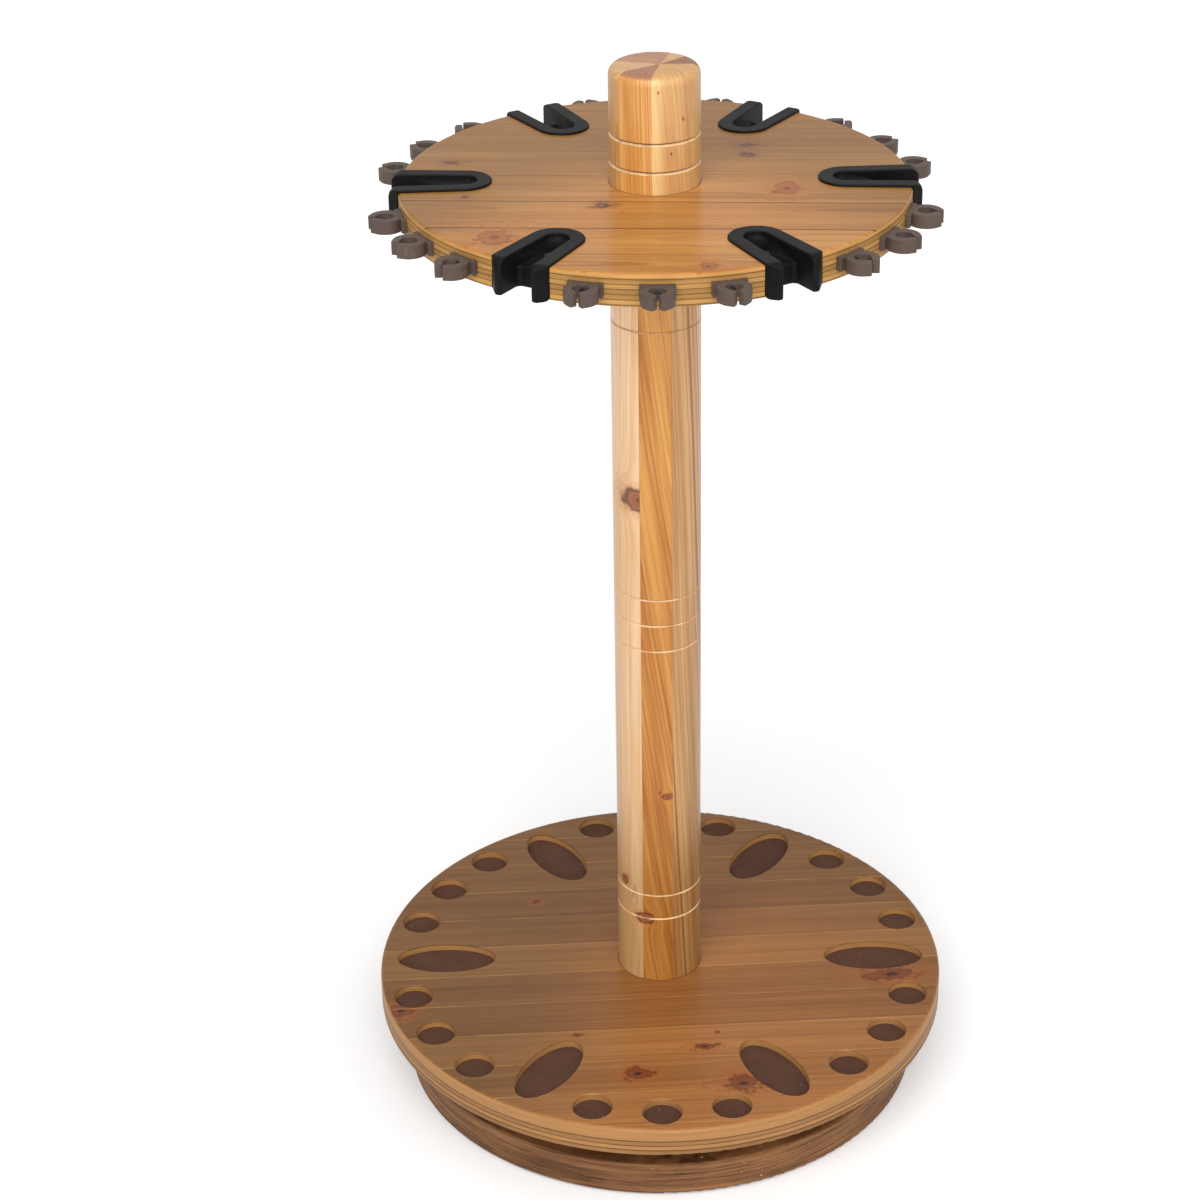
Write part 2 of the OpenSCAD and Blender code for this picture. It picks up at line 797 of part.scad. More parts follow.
// Double-ended screw through the top disc, from the post into the finial
module finial_stud() {
    low = top_z - stud_down;
    high = finial_z + stud_up;
    color(steel) {
        translate([0, 0, low]) cylinder(d1 = tip_d, d2 = stud_d, h = stud_d);
        translate([0, 0, low + stud_d]) cylinder(d = stud_d, h = high - low - 2 * stud_d);
        translate([0, 0, high - stud_d]) cylinder(d1 = stud_d, d2 = tip_d, h = stud_d);
    }
}

floor_disc();
rubber_feet();
foot_screws();
spacer_disc();
spacer_screws();
bearing_outer_ring();
outer_ring_screws();
bearing_inner_ring();
inner_ring_screws();
ball_cage();
bearing_balls();
base_disc();
round_butt_pads();
oval_butt_pads();
post();
post_bolt();
post_washer();
post_foot_screws();
post_top_screws();
top_disc();
finial();
finial_stud();
holder_screws();
clip_screws();
for (i = [1 : len(holder_bays)]) rod_holder(i);
for (i = [1 : len(clip_bays)]) rod_clip(i);
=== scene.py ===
import math

import bmesh
import bpy
from mathutils import Matrix, Vector, kdtree


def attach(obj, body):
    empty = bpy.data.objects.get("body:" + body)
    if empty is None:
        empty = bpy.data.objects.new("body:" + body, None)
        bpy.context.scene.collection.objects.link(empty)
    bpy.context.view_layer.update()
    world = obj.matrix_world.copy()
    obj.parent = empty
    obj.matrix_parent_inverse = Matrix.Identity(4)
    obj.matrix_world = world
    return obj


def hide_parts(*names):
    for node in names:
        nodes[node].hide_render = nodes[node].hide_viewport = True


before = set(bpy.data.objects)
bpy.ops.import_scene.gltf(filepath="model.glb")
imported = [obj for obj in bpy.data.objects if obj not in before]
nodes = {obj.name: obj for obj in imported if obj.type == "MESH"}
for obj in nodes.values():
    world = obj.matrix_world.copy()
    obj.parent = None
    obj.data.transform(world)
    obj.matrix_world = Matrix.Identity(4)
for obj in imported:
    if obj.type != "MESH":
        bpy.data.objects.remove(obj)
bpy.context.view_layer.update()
scene = bpy.context.scene
print("frame loaded:", len(nodes), "pieces")


# lowest and highest point of a CAD piece, and how far it reaches from the post's axis
def measurePiece(name):
    points = [point.co for point in nodes[name].data.vertices]
    heights = [point.z for point in points]
    return min(heights), max(heights), max(math.hypot(point.x, point.y) for point in points)


baseLow, baseTop = measurePiece("base_disc")[:2]
topLow, topTop = measurePiece("top_disc")[:2]
postRadius = measurePiece("post")[2]
finialRadius = measurePiece("finial")[2]


# camera, placed as the photograph was taken; turn swings it around the post
cameraValues = {"distance": 2.3069, "height": 1.6863, "lens": 89.385, "yaw": -0.0218, "pitch": 0.4856,
                "roll": -0.0162, "turn": -0.4}


def placeCamera(values):
    data = bpy.data.cameras.new("photoCamera")
    data.lens = values["lens"]
    data.sensor_width = 36
    data.clip_start = 0.05
    camera = bpy.data.objects.new("photoCamera", data)
    scene.collection.objects.link(camera)
    yaw, pitch, roll = values["yaw"], values["pitch"], values["roll"]
    ahead = Vector((math.sin(yaw) * math.cos(pitch), math.cos(yaw) * math.cos(pitch), -math.sin(pitch)))
    side = Vector((math.cos(yaw), -math.sin(yaw), 0))
    up = side.cross(ahead)
    sideRolled = side * math.cos(roll) + up * math.sin(roll)
    upRolled = up * math.cos(roll) - side * math.sin(roll)
    facing = Matrix((sideRolled, upRolled, -ahead)).transposed().to_4x4()
    spot = Matrix.Translation((0, -values["distance"], values["height"]))
    camera.matrix_world = Matrix.Rotation(math.radians(values["turn"]), 4, "Z") @ spot @ facing
    scene.camera = camera


placeCamera(cameraValues)
print("camera placed")


# short ways to build materials
def addNode(tree, kind, inputs=None, **settings):
    node = tree.nodes.new(kind)
    for name, value in settings.items():
        setattr(node, name, value)
    for key, value in (inputs or {}).items():
        socket = node.inputs[key]
        if isinstance(value, bpy.types.NodeSocket):
            tree.links.new(value, socket)
        else:
            socket.default_value = value
    return node


def calc(tree, operation, a, b=0.0, c=0.0, clamp=False):
    node = addNode(tree, "ShaderNodeMath", {0: a, 1: b, 2: c}, operation=operation, use_clamp=clamp)
    return node.outputs[0]


def plus(tree, a, b):
    return calc(tree, "ADD", a, b)


def minus(tree, a, b):
    return calc(tree, "SUBTRACT", a, b)


def times(tree, a, b):
    return calc(tree, "MULTIPLY", a, b)


def timesPlus(tree, a, b, c):
    return calc(tree, "MULTIPLY_ADD", a, b, c)


def squareSum(tree, a, b):
    return plus(tree, times(tree, a, a), times(tree, b, b))


def calcVector(tree, operation, a, b):
    return addNode(tree, "ShaderNodeVectorMath", {0: a, 1: b}, operation=operation).outputs[0]


def smooth(tree, value, low, high, outLow=0.0, outHigh=1.0):
    node = addNode(tree, "ShaderNodeMapRange", {0: value, 1: low, 2: high, 3: outLow, 4: outHigh},
                   interpolation_type="SMOOTHSTEP")
    return node.outputs[0]


def ramp(tree, value, stops):
    node = addNode(tree, "ShaderNodeValToRGB", {0: value})
    elements = node.color_ramp.elements
    while len(elements) < len(stops):
        elements.new(0.5)
    for element, (position, colour) in zip(elements, stops):
        element.position = position
        element.color = (*colour, 1)
    return node.outputs[0]


def blendColour(tree, factor, a, b, mode="MIX"):
    node = addNode(tree, "ShaderNodeMix", data_type="RGBA", blend_type=mode)
    for index, value in ((0, factor), (6, a), (7, b)):
        if isinstance(value, bpy.types.NodeSocket):
            tree.links.new(value, node.inputs[index])
        elif index == 0:
            node.inputs[index].default_value = value
        else:
            node.inputs[index].default_value = (*value, 1)
    return node.outputs[2]


def noise(tree, vector, scale, detail=2.0, roughness=0.5, distortion=0.0):
    node = addNode(tree, "ShaderNodeTexNoise", {"Vector": vector, "Scale": scale, "Detail": detail,
                                                "Roughness": roughness, "Distortion": distortion})
    return node.outputs[0]


def stretch(tree, vector, scale):
    node = addNode(tree, "ShaderNodeMapping", {"Vector": vector, "Scale": scale})
    return node.outputs[0]


# a vector stretched and then shifted
def stretchFrom(tree, vector, scale, shift):
    node = addNode(tree, "ShaderNodeVectorMath", {0: vector, 1: scale, 2: shift}, operation="MULTIPLY_ADD")
    return node.outputs[0]


def splitVector(tree, vector):
    return addNode(tree, "ShaderNodeSeparateXYZ", {0: vector}).outputs


def joinVector(tree, x=0.0, y=0.0, z=0.0):
    return addNode(tree, "ShaderNodeCombineXYZ", {0: x, 1: y, 2: z}).outputs[0]


# a chance value from 0 to 1 that belongs to a number
def chanceOf(tree, number):
    node = addNode(tree, "ShaderNodeTexWhiteNoise", {"W": number}, noise_dimensions="1D")
    return node.outputs["Value"]


# a screen colour from 0 to 255 as linear light
def tint(*colour):
    return tuple(v / 3294.6 if v < 10.3 else ((v / 255 + 0.055) / 1.055) ** 2.4 for v in colour)


# the value that belongs to the last of the steps that is passed
def pick(tree, passed, options):
    result = options[0]
    for mask, before, after in zip(passed, options, options[1:]):
        result = timesPlus(tree, mask, after - before, result)
    return result


def pickColour(tree, passed, options):
    result = options[0]
    for mask, after in zip(passed, options[1:]):
        result = blendColour(tree, mask, result, after)
    return result


def newGroup(name, inputs, outputs):
    group = bpy.data.node_groups.new(name, "ShaderNodeTree")
    for label, kind, default in inputs:
        socket = group.interface.new_socket(label, in_out="INPUT", socket_type=kind)
        socket.default_value = default
    for label, kind in outputs:
        group.interface.new_socket(label, in_out="OUTPUT", socket_type=kind)
    return group, group.nodes.new("NodeGroupInput").outputs, group.nodes.new("NodeGroupOutput").inputs


def useGroup(tree, group, inputs):
    node = tree.nodes.new("ShaderNodeGroup")
    node.node_tree = group
    for key, value in inputs.items():
        if isinstance(value, bpy.types.NodeSocket):
            tree.links.new(value, node.inputs[key])
        else:
            node.inputs[key].default_value = value
    return node.outputs


def newMaterial(name):
    material = bpy.data.materials.new(name)
    material.use_nodes = True
    tree = material.node_tree
    shader = tree.nodes["Principled BSDF"]
    return material, tree, shader


def addBump(tree, shader, height, strength, distance):
    bump = addNode(tree, "ShaderNodeBump", {"Strength": strength, "Distance": distance, "Height": height})
    tree.links.new(bump.outputs[0], shader.inputs["Normal"])


# growth rings, broad streaks and fibres of sawn pine whose grain runs along x
def makePineGrain():
    group, given, result = newGroup(
        "pineGrain",
        [("Vector", "NodeSocketVector", (0, 0, 0)), ("Ring Spacing", "NodeSocketFloat", 0.006),
         ("Waver", "NodeSocketFloat", 1.0), ("Seed", "NodeSocketFloat", 0.0)],
        [("Rings", "NodeSocketFloat"), ("Streaks", "NodeSocketFloat"), ("Fibres", "NodeSocketFloat")])
    vector, seed = given["Vector"], given["Seed"]
    chance = addNode(group, "ShaderNodeTexWhiteNoise", {"W": seed}, noise_dimensions="1D").outputs["Color"]
    offset = calcVector(group, "MULTIPLY", chance, (7.0, 3.0, 5.0))
    slow = stretchFrom(group, vector, (1.3, 7.0, 7.0), offset)
    drift = noise(group, slow, 1.0, 2.0, 0.5)
    fast = stretchFrom(group, vector, (7.0, 70.0, 70.0), offset)
    quiver = noise(group, fast, 1.0, 3.0, 0.6)
    parts = splitVector(group, vector)
    luck = addNode(group, "ShaderNodeSeparateColor", {0: chance}).outputs
    pithY = timesPlus(group, luck[0], 0.10, -0.05)
    pithZ = timesPlus(group, luck[1], 0.03, 0.014)
    across = minus(group, parts[1], pithY)
    wander = times(group, minus(group, drift, 0.5), given["Waver"])
    across = timesPlus(group, wander, 0.05, across)
    deep = plus(group, timesPlus(group, wander, 0.05, pithZ), parts[2])
    radius = calc(group, "SQRT", squareSum(group, across, deep))
    radius = timesPlus(group, minus(group, quiver, 0.5), 0.0016, radius)
    turns = calc(group, "DIVIDE", radius, given["Ring Spacing"])
    uneven = addNode(group, "ShaderNodeTexNoise", {"W": times(group, turns, 0.45), "Scale": 1.0,
                                                   "Detail": 2.0}, noise_dimensions="1D").outputs[0]
    turns = timesPlus(group, uneven, 2.4, turns)
    number = plus(group, calc(group, "FLOOR", turns), seed)
    strength = chanceOf(group, number)
    rise = calc(group, "FRACT", turns)
    late = smooth(group, rise, 0.3, 0.9)
    fall = smooth(group, rise, 0.92, 1.0, 1.0, 0.0)
    ring = times(group, times(group, late, fall), timesPlus(group, strength, 0.8, 0.2))
    group.links.new(ring, result["Rings"])
    wide = stretchFrom(group, vector, (3.0, 80.0, 80.0), offset)
    group.links.new(noise(group, wide, 1.0, 4.0, 0.6), result["Streaks"])
    thin = stretchFrom(group, vector, (24.0, 1200.0, 1200.0), offset)
    group.links.new(noise(group, thin, 1.0, 3.0, 0.6), result["Fibres"])
    return group


# one knot: bends the grain's coordinates round itself and gives its masks, from its heart outwards
def makePineKnot():
    group, given, result = newGroup(
        "pineKnot",
        [("Vector", "NodeSocketVector", (0, 0, 0)), ("Centre", "NodeSocketVector", (0, 0, 0)),
         ("Wobble", "NodeSocketFloat", 0.5), ("Size", "NodeSocketFloat", 0.008),
         ("Length", "NodeSocketFloat", 1.4)],
        [("Vector", "NodeSocketVector"), ("Heart", "NodeSocketFloat"), ("Fill", "NodeSocketFloat"),
         ("Rim", "NodeSocketFloat"), ("Near", "NodeSocketFloat"), ("Loops", "NodeSocketFloat")])
    away = splitVector(group, calcVector(group, "SUBTRACT", given["Vector"], given["Centre"]))
    along = calc(group, "DIVIDE", away[0], given["Length"])
    flat = joinVector(group, along, away[1], times(group, away[2], 0.6))
    far = addNode(group, "ShaderNodeVectorMath", {0: flat}, operation="LENGTH").outputs["Value"]
    far = calc(group, "DIVIDE", far, given["Size"])
    far = times(group, far, timesPlus(group, given["Wobble"], 1.1, 0.45))
    group.links.new(smooth(group, far, 0.42, 0.16), result["Heart"])
    group.links.new(smooth(group, far, 1.05, 0.8), result["Fill"])
    rim = times(group, smooth(group, far, 0.76, 0.93), smooth(group, far, 1.22, 1.0))
    group.links.new(rim, result["Rim"])
    group.links.new(smooth(group, far, 2.7, 0.8), result["Near"])
    loops = calc(group, "SINE", times(group, far, 17.0))
    loops = times(group, timesPlus(group, loops, 0.5, 0.5), smooth(group, far, 1.9, 1.0))
    group.links.new(loops, result["Loops"])
    swell = calc(group, "EXPONENT", times(group, times(group, far, far), -0.3))
    width = plus(group, calc(group, "ABSOLUTE", away[1]), times(group, given["Size"], 0.4))
    turn = calc(group, "DIVIDE", away[1], width)
    push = times(group, times(group, swell, turn), given["Size"])
    shift = joinVector(group, y=times(group, push, 1.2))
    group.links.new(calcVector(group, "SUBTRACT", given["Vector"], shift), result["Vector"])
    return group


# layers seen at a board's edge, from the depth below its face
def makePlyEdge():
    group, given, result = newGroup(
        "plyEdge",
        [("Vector", "NodeSocketVector", (0, 0, 0)), ("Depth", "NodeSocketFloat", 0.0),
         ("First Ply", "NodeSocketFloat", 0.011), ("Ply", "NodeSocketFloat", 0.0048)],
        [("Line", "NodeSocketFloat"), ("Tone", "NodeSocketFloat"), ("Fibres", "NodeSocketFloat")])
    slow = noise(group, stretch(group, given["Vector"], (6, 6, 60)), 1.0, 2.0, 0.5)
    depth = timesPlus(group, minus(group, slow, 0.5), 0.0011, given["Depth"])
    inside = calc(group, "DIVIDE", minus(group, depth, given["First Ply"]), given["Ply"])
    part = calc(group, "FRACT", inside)
    number = chanceOf(group, calc(group, "FLOOR", inside))
    line = times(group, smooth(group, part, 0.0, 0.05), smooth(group, part, 0.18, 0.32, 1.0, 0.0))
    broken = noise(group, stretch(group, given["Vector"], (18, 18, 260)), 1.0, 3.0, 0.65)
    line = times(group, line, smooth(group, broken, 0.3, 0.55, 0.6, 1.0))
    below = smooth(group, inside, -0.02, 0.02)
    group.links.new(times(group, line, below), result["Line"])
    streak = noise(group, stretch(group, given["Vector"], (8, 8, 300)), 1.0, 4.0, 0.6)
    tone = timesPlus(group, times(group, number, below), 0.45, times(group, streak, 0.75))
    group.links.new(tone, result["Tone"])
    fine = noise(group, stretch(group, given["Vector"], (50, 50, 1700)), 1.0, 3.0, 0.6)
    group.links.new(fine, result["Fibres"])
    return group


pineGrain = makePineGrain()
pineKnot = makePineKnot()
plyEdge = makePlyEdge()
print("grain, knot and ply groups made")


# places the knots of a piece and joins their masks; a knot with an owner stays on that stave
def placeKnots(tree, vector, knots, stave=None, ragged=1.0):
    wobble = noise(tree, vector, 110.0, 3.0, 0.6)
    wobble = timesPlus(tree, wobble, ragged, 0.5 - ragged * 0.5)
    masks = {}
    for centre, size, length, owner in knots:
        knot = useGroup(tree, pineKnot, {"Vector": vector, "Centre": centre, "Wobble": wobble, "Size": size,
                                         "Length": length})
        own = 1.0 if owner is None else calc(tree, "COMPARE", stave, owner, 0.5)
        bent = addNode(tree, "ShaderNodeMix", {0: own, 4: vector, 5: knot["Vector"]}, data_type="VECTOR")
        vector = bent.outputs[1]
        for label in ("Heart", "Fill", "Rim", "Near", "Loops"):
            mask = times(tree, knot[label], own)
            masks[label] = calc(tree, "MAXIMUM", masks[label], mask) if label in masks else mask
    return vector, masks


# a knot's colours, from its surroundings to its heart
def paintKnots(tree, values, knot, colour):
    for label in ("Near", "Fill", "Rim", "Heart"):
        shade, amount = values[label.lower()]
        colour = blendColour(tree, times(tree, knot[label], amount), colour, shade)
    loops = times(tree, knot["Loops"], values["loops"])
    return blendColour(tree, loops, colour, values["rim"][0])


# varnished pine boards: planks and knots on the faces, layers at the edges.
# A knot or smudge is its place x and y on the disc, its size and how much longer than wide it is.
# Joints between the two clear planks show by the first jointAmount, the others by the second.
# A joint has its least strength where the patchy noise is low and its full one where it is high.
# The painted shade grows by three slopes: across the planks, along them, and out to both sides; it stands
# for less light falling on the back and sides.
# The foot is the radius of the post or finial standing on the board, and the colour and strength of a
# painted contact shadow round it.
baseBoard = {
    "name": "basePine", "top": baseTop, "thick": baseTop - baseLow, "turn": 3.7, "seed": 3.0,
    "rounding": (0.0006, 0.0021), "firstPly": 0.0122, "ply": 0.0048,
    "plank": 0.0463, "seam": -0.065, "jointWidth": (0.0004, 0.0010), "joint": tint(196, 146, 88),
    "jointAmount": (0.34, 0.34), "clear": (-9, 9), "patchy": (0.38, 0.6, 0.25),
    "pale": tint(166, 110, 58), "deep": tint(130, 80, 37), "streaks": 0.5,
    "ringAmount": 0.3, "ringSpacing": 0.0046, "shadeAndDullPatches": (0.3, -0.35, 0.65, (0.60, 0.69, 0.77)),
    "edge": tint(169, 122, 73), "edgeDark": tint(85, 50, 24), "lineAmount": 0.95,
    "rough": 0.36, "gloss": 0.2, "foot": (postRadius, tint(72, 38, 16), 0.7),
    "near": (tint(152, 82, 33), 0.6), "fill": (tint(112, 54, 20), 0.9),
    "rim": (tint(70, 30, 12), 0.55), "heart": (tint(30, 8, 4), 0.95), "loops": 0.15,
    "ragged": 2.1, "coat": (0.08, 0.14),
    "freckles": {"amount": 1.0, "scale": 330.0, "size": (0.14, 0.26), "share": 0.62},
    "knots": [(-0.0208, -0.1798, 0.0072, 1.6), (0.0712, -0.1947, 0.0092, 1.4),
              (0.0386, -0.1407, 0.0036, 2.4), (-0.0756, -0.1229, 0.0022, 1.6),
              (0.0511, -0.119, 0.0018, 1.3), (0.2127, -0.0312, 0.0080, 2.8),
              (-0.2368, -0.0836, 0.0080, 1.4), (-0.118, 0.094, 0.003, 1.5),
              (0.104, 0.158, 0.004, 1.3)]}
topBoard = {
    "name": "topPine", "top": topTop, "thick": topTop - topLow, "turn": -2.7, "seed": 11.0,
    "rounding": (0.0006, 0.0021), "firstPly": 0.0034, "ply": 0.0042,
    "plank": 0.0600, "seam": -0.0522, "jointWidth": (0.0004, 0.0010), "joint": tint(72, 36, 16),
    "jointAmount": (1.0, 0.3), "clear": (-1.5, 0.5), "patchy": (0.3, 0.48, 0.6),
    "pale": tint(205, 148, 82), "deep": tint(174, 114, 55), "streaks": 0.72,
    "ringAmount": 0.5, "ringSpacing": 0.0030, "shadeAndDullPatches": (0.75, -0.12, 0.8, (0.56, 0.57, 0.50)),
    "edge": tint(192, 145, 83), "edgeDark": tint(88, 51, 24), "lineAmount": 0.7,
    "rough": 0.22, "gloss": 0.08, "foot": (finialRadius, tint(78, 42, 18), 0.75),
    "near": (tint(178, 106, 48), 0.55), "fill": (tint(152, 86, 38), 0.6),
    "rim": (tint(104, 54, 26), 0.5), "heart": (tint(96, 46, 22), 0.6), "loops": 0.14,
    "ragged": 2.1, "coat": (0.08, 0.14),
    "knots": [(0.1063, -0.0236, 0.0135, 0.72), (0.0386, -0.1935, 0.0072, 0.85),
              (-0.1264, -0.1275, 0.0150, 0.85)],
    "smudge": (tint(84, 40, 30), 0.95),
    "smudges": [(0.0782, 0.0826, 0.0046, 2.0), (0.0764, 0.0588, 0.0056, 1.3),
                (-0.0424, -0.0583, 0.0068, 1.2), (-0.153, -0.0361, 0.0026, 1.5),
                (-0.168, 0.047, 0.004, 1.8)]}


# knots from the part's frame, turned to lie along the board's planks
def turnedKnots(knots, turn):
    cosine, sine = math.cos(turn), math.sin(turn)
    return [((x * cosine + y * sine, y * cosine - x * sine, 0), size, length, None)
            for x, y, size, length in knots]


# glue joints between the planks: how strong each shows, patchy along its length
def jointMask(tree, values, spot, level):
    part = calc(tree, "FRACT", level)
    joint = times(tree, calc(tree, "MINIMUM", part, minus(tree, 1.0, part)), values["plank"])
    joint = smooth(tree, joint, *values["jointWidth"], 1.0, 0.0)
    patchy = noise(tree, stretch(tree, spot, (16, 16, 16)), 1.0, 3.0, 0.6)
    low, high, least = values["patchy"]
    joint = times(tree, joint, smooth(tree, patchy, low, high, least, 1.0))
    low, high = values["clear"]
    clear = times(tree, calc(tree, "GREATER_THAN", level, low), calc(tree, "LESS_THAN", level, high))
    strong, weak = values["jointAmount"]
    return times(tree, joint, timesPlus(tree, clear, strong - weak, weak))


# each plank's own tone, its streaks and rings, and a painted shade where less light falls on the boards
def paintPlanks(tree, values, grain, luck, parts):
    streaks = times(tree, minus(tree, grain["Streaks"], 0.5), values["streaks"] * 2.2)
    mixed = plus(tree, streaks, timesPlus(tree, luck, 0.55, 0.22))
    colour = ramp(tree, mixed, [(0.1, values["pale"]), (0.9, values["deep"])])
    # painted shade: the colour darkens towards the back and the sides, as if less light fell there
    across, along, sides, shade = values["shadeAndDullPatches"]
    shadeAndDullPatches = timesPlus(tree, parts[1], across, times(tree, parts[0], along))
    shadeAndDullPatches = timesPlus(tree, calc(tree, "ABSOLUTE", parts[0]), sides, shadeAndDullPatches)
    colour = blendColour(tree, smooth(tree, shadeAndDullPatches, -0.03, 0.13), colour, shade, "MULTIPLY")
    rings = times(tree, grain["Rings"], values["ringAmount"])
    colour = blendColour(tree, rings, colour, tuple(v * 0.42 for v in values["deep"]))
    fibres = ramp(tree, grain["Fibres"], [(0.3, (0.84, 0.82, 0.80)), (0.65, (1.06, 1.06, 1.06))])
    return blendColour(tree, 0.5, colour, fibres, "MULTIPLY")


# smudges and freckles, on the boards that have them
def paintMarks(tree, values, spot, near, colour):
    if "smudges" in values:
        shade, amount = values["smudge"]
        smudges = turnedKnots(values["smudges"], math.radians(values["turn"]))
        mark = placeKnots(tree, spot, smudges, ragged=values["ragged"])[1]
        mark = calc(tree, "MAXIMUM", mark["Fill"], times(tree, mark["Near"], 0.35))
        uneven = smooth(tree, noise(tree, spot, 260.0, 3.0, 0.6), 0.3, 0.6, 0.45, 1.0)
        mark = times(tree, mark, uneven)
        colour = blendColour(tree, times(tree, mark, amount), colour, shade)
    if "freckles" in values:
        freckles = values["freckles"]
        dots = addNode(tree, "ShaderNodeTexVoronoi", {"Vector": spot, "Scale": freckles["scale"]}).outputs
        chosen = addNode(tree, "ShaderNodeSeparateColor", {0: dots["Color"]}).outputs[0]
        dots = smooth(tree, dots["Distance"], *freckles["size"], 1.0, 0.0)
        dots = times(tree, dots, calc(tree, "GREATER_THAN", chosen, freckles["share"]))
        dots = times(tree, dots, smooth(tree, near, 0.02, 0.3))
        dots = times(tree, dots, freckles["amount"])
        colour = blendColour(tree, dots, colour, values["heart"][0])
    return colour


def paintPlies(tree, values, plies):
    deepEdge = tuple(v * 0.55 for v in values["edge"])
    edge = ramp(tree, plies["Tone"], [(0.25, values["edge"]), (0.85, deepEdge)])
    lines = times(tree, plies["Line"], values["lineAmount"])
    edge = blendColour(tree, lines, edge, values["edgeDark"])
    fibres = ramp(tree, plies["Fibres"], [(0.3, (0.78, 0.75, 0.72)), (0.62, (1.07, 1.07, 1.07))])
    return blendColour(tree, 0.6, edge, fibres, "MULTIPLY")


def makeBoard(values):
    material, tree, shader = newMaterial(values["name"])
    place = addNode(tree, "ShaderNodeTexCoord")
    turn = math.radians(values["turn"])
    spot = addNode(tree, "ShaderNodeMapping", {"Vector": place.outputs["Object"], "Rotation": (0, 0, -turn),
                                               "Location": (0, 0, -values["top"])}).outputs[0]
    facing = splitVector(tree, place.outputs["Normal"])
    parts = splitVector(tree, spot)
    depth = times(tree, parts[2], -1.0)
    below = smooth(tree, depth, values["thick"] - 0.0010, values["thick"] - 0.0003)
    below = times(tree, below, smooth(tree, facing[2], -0.8, -0.3, 1.0, 0.0))
    upright = calc(tree, "SUBTRACT", smooth(tree, depth, *values["rounding"]), below, clamp=True)
    level = calc(tree, "DIVIDE", minus(tree, parts[1], values["seam"]), values["plank"])
    plank = calc(tree, "FLOOR", level)
    joint = jointMask(tree, values, spot, level)
    seed = plus(tree, plank, values["seed"])
    luck = chanceOf(tree, seed)
    bent, knot = placeKnots(tree, spot, turnedKnots(values["knots"], turn), ragged=values["ragged"])
    middle = timesPlus(tree, plus(tree, plank, 0.5), values["plank"], values["seam"])
    local = calcVector(tree, "SUBTRACT", bent, joinVector(tree, y=middle))
    grain = useGroup(tree, pineGrain, {"Vector": local, "Ring Spacing": values["ringSpacing"], "Waver": 1.0,
                                       "Seed": seed})
    colour = paintPlanks(tree, values, grain, luck, parts)
    colour = paintKnots(tree, values, knot, colour)
    colour = paintMarks(tree, values, spot, knot["Near"], colour)
    colour = blendColour(tree, joint, colour, values["joint"])
    # painted contact shadow: a thin dark ring on the board round the foot of the post or finial
    radius, shade, amount = values["foot"]
    reach = calc(tree, "SQRT", squareSum(tree, parts[0], parts[1]))
    foot = smooth(tree, reach, radius + 0.0003, radius + 0.0013, 1.0, 0.0)
    colour = blendColour(tree, times(tree, foot, amount), colour, shade)
    plies = useGroup(tree, plyEdge, {"Vector": spot, "Depth": depth, "First Ply": values["firstPly"],
                                     "Ply": values["ply"]})
    colour = blendColour(tree, upright, colour, paintPlies(tree, values, plies))
    tree.links.new(colour, shader.inputs["Base Color"])
    worn = noise(tree, spot, 14.0, 3.0, 0.6)
    rough = timesPlus(tree, worn, 0.14, values["rough"])
    tree.links.new(timesPlus(tree, upright, 0.14, rough), shader.inputs["Roughness"])
    relief = timesPlus(tree, grain["Fibres"], 0.3, times(tree, grain["Rings"], 0.4))
    relief = minus(tree, relief, times(tree, joint, 1.2))
    relief = minus(tree, relief, times(tree, knot["Heart"], 0.7))
    layers = timesPlus(tree, plies["Fibres"], 1.6, times(tree, plies["Line"], -1.8))
    relief = addNode(tree, "ShaderNodeMix", {0: upright, 2: relief, 3: layers}).outputs[0]
    addBump(tree, shader, relief, 0.3, 0.0002)
    shader.inputs["Specular IOR Level"].default_value = values["gloss"]
    shader.inputs["Coat Weight"].default_value = values["coat"][0]
    shader.inputs["Coat Roughness"].default_value = values["coat"][1]
    return material


# discs under the rack, darker by their own wood colour and by painted shade, with saw marks and pale chips
floorBoard = {"name": "floorPine", "pale": tint(140, 98, 61), "deep": tint(87, 55, 31),
              "line": tint(30, 14, 7), "lineAmount": 0.88, "chip": tint(222, 190, 146)}


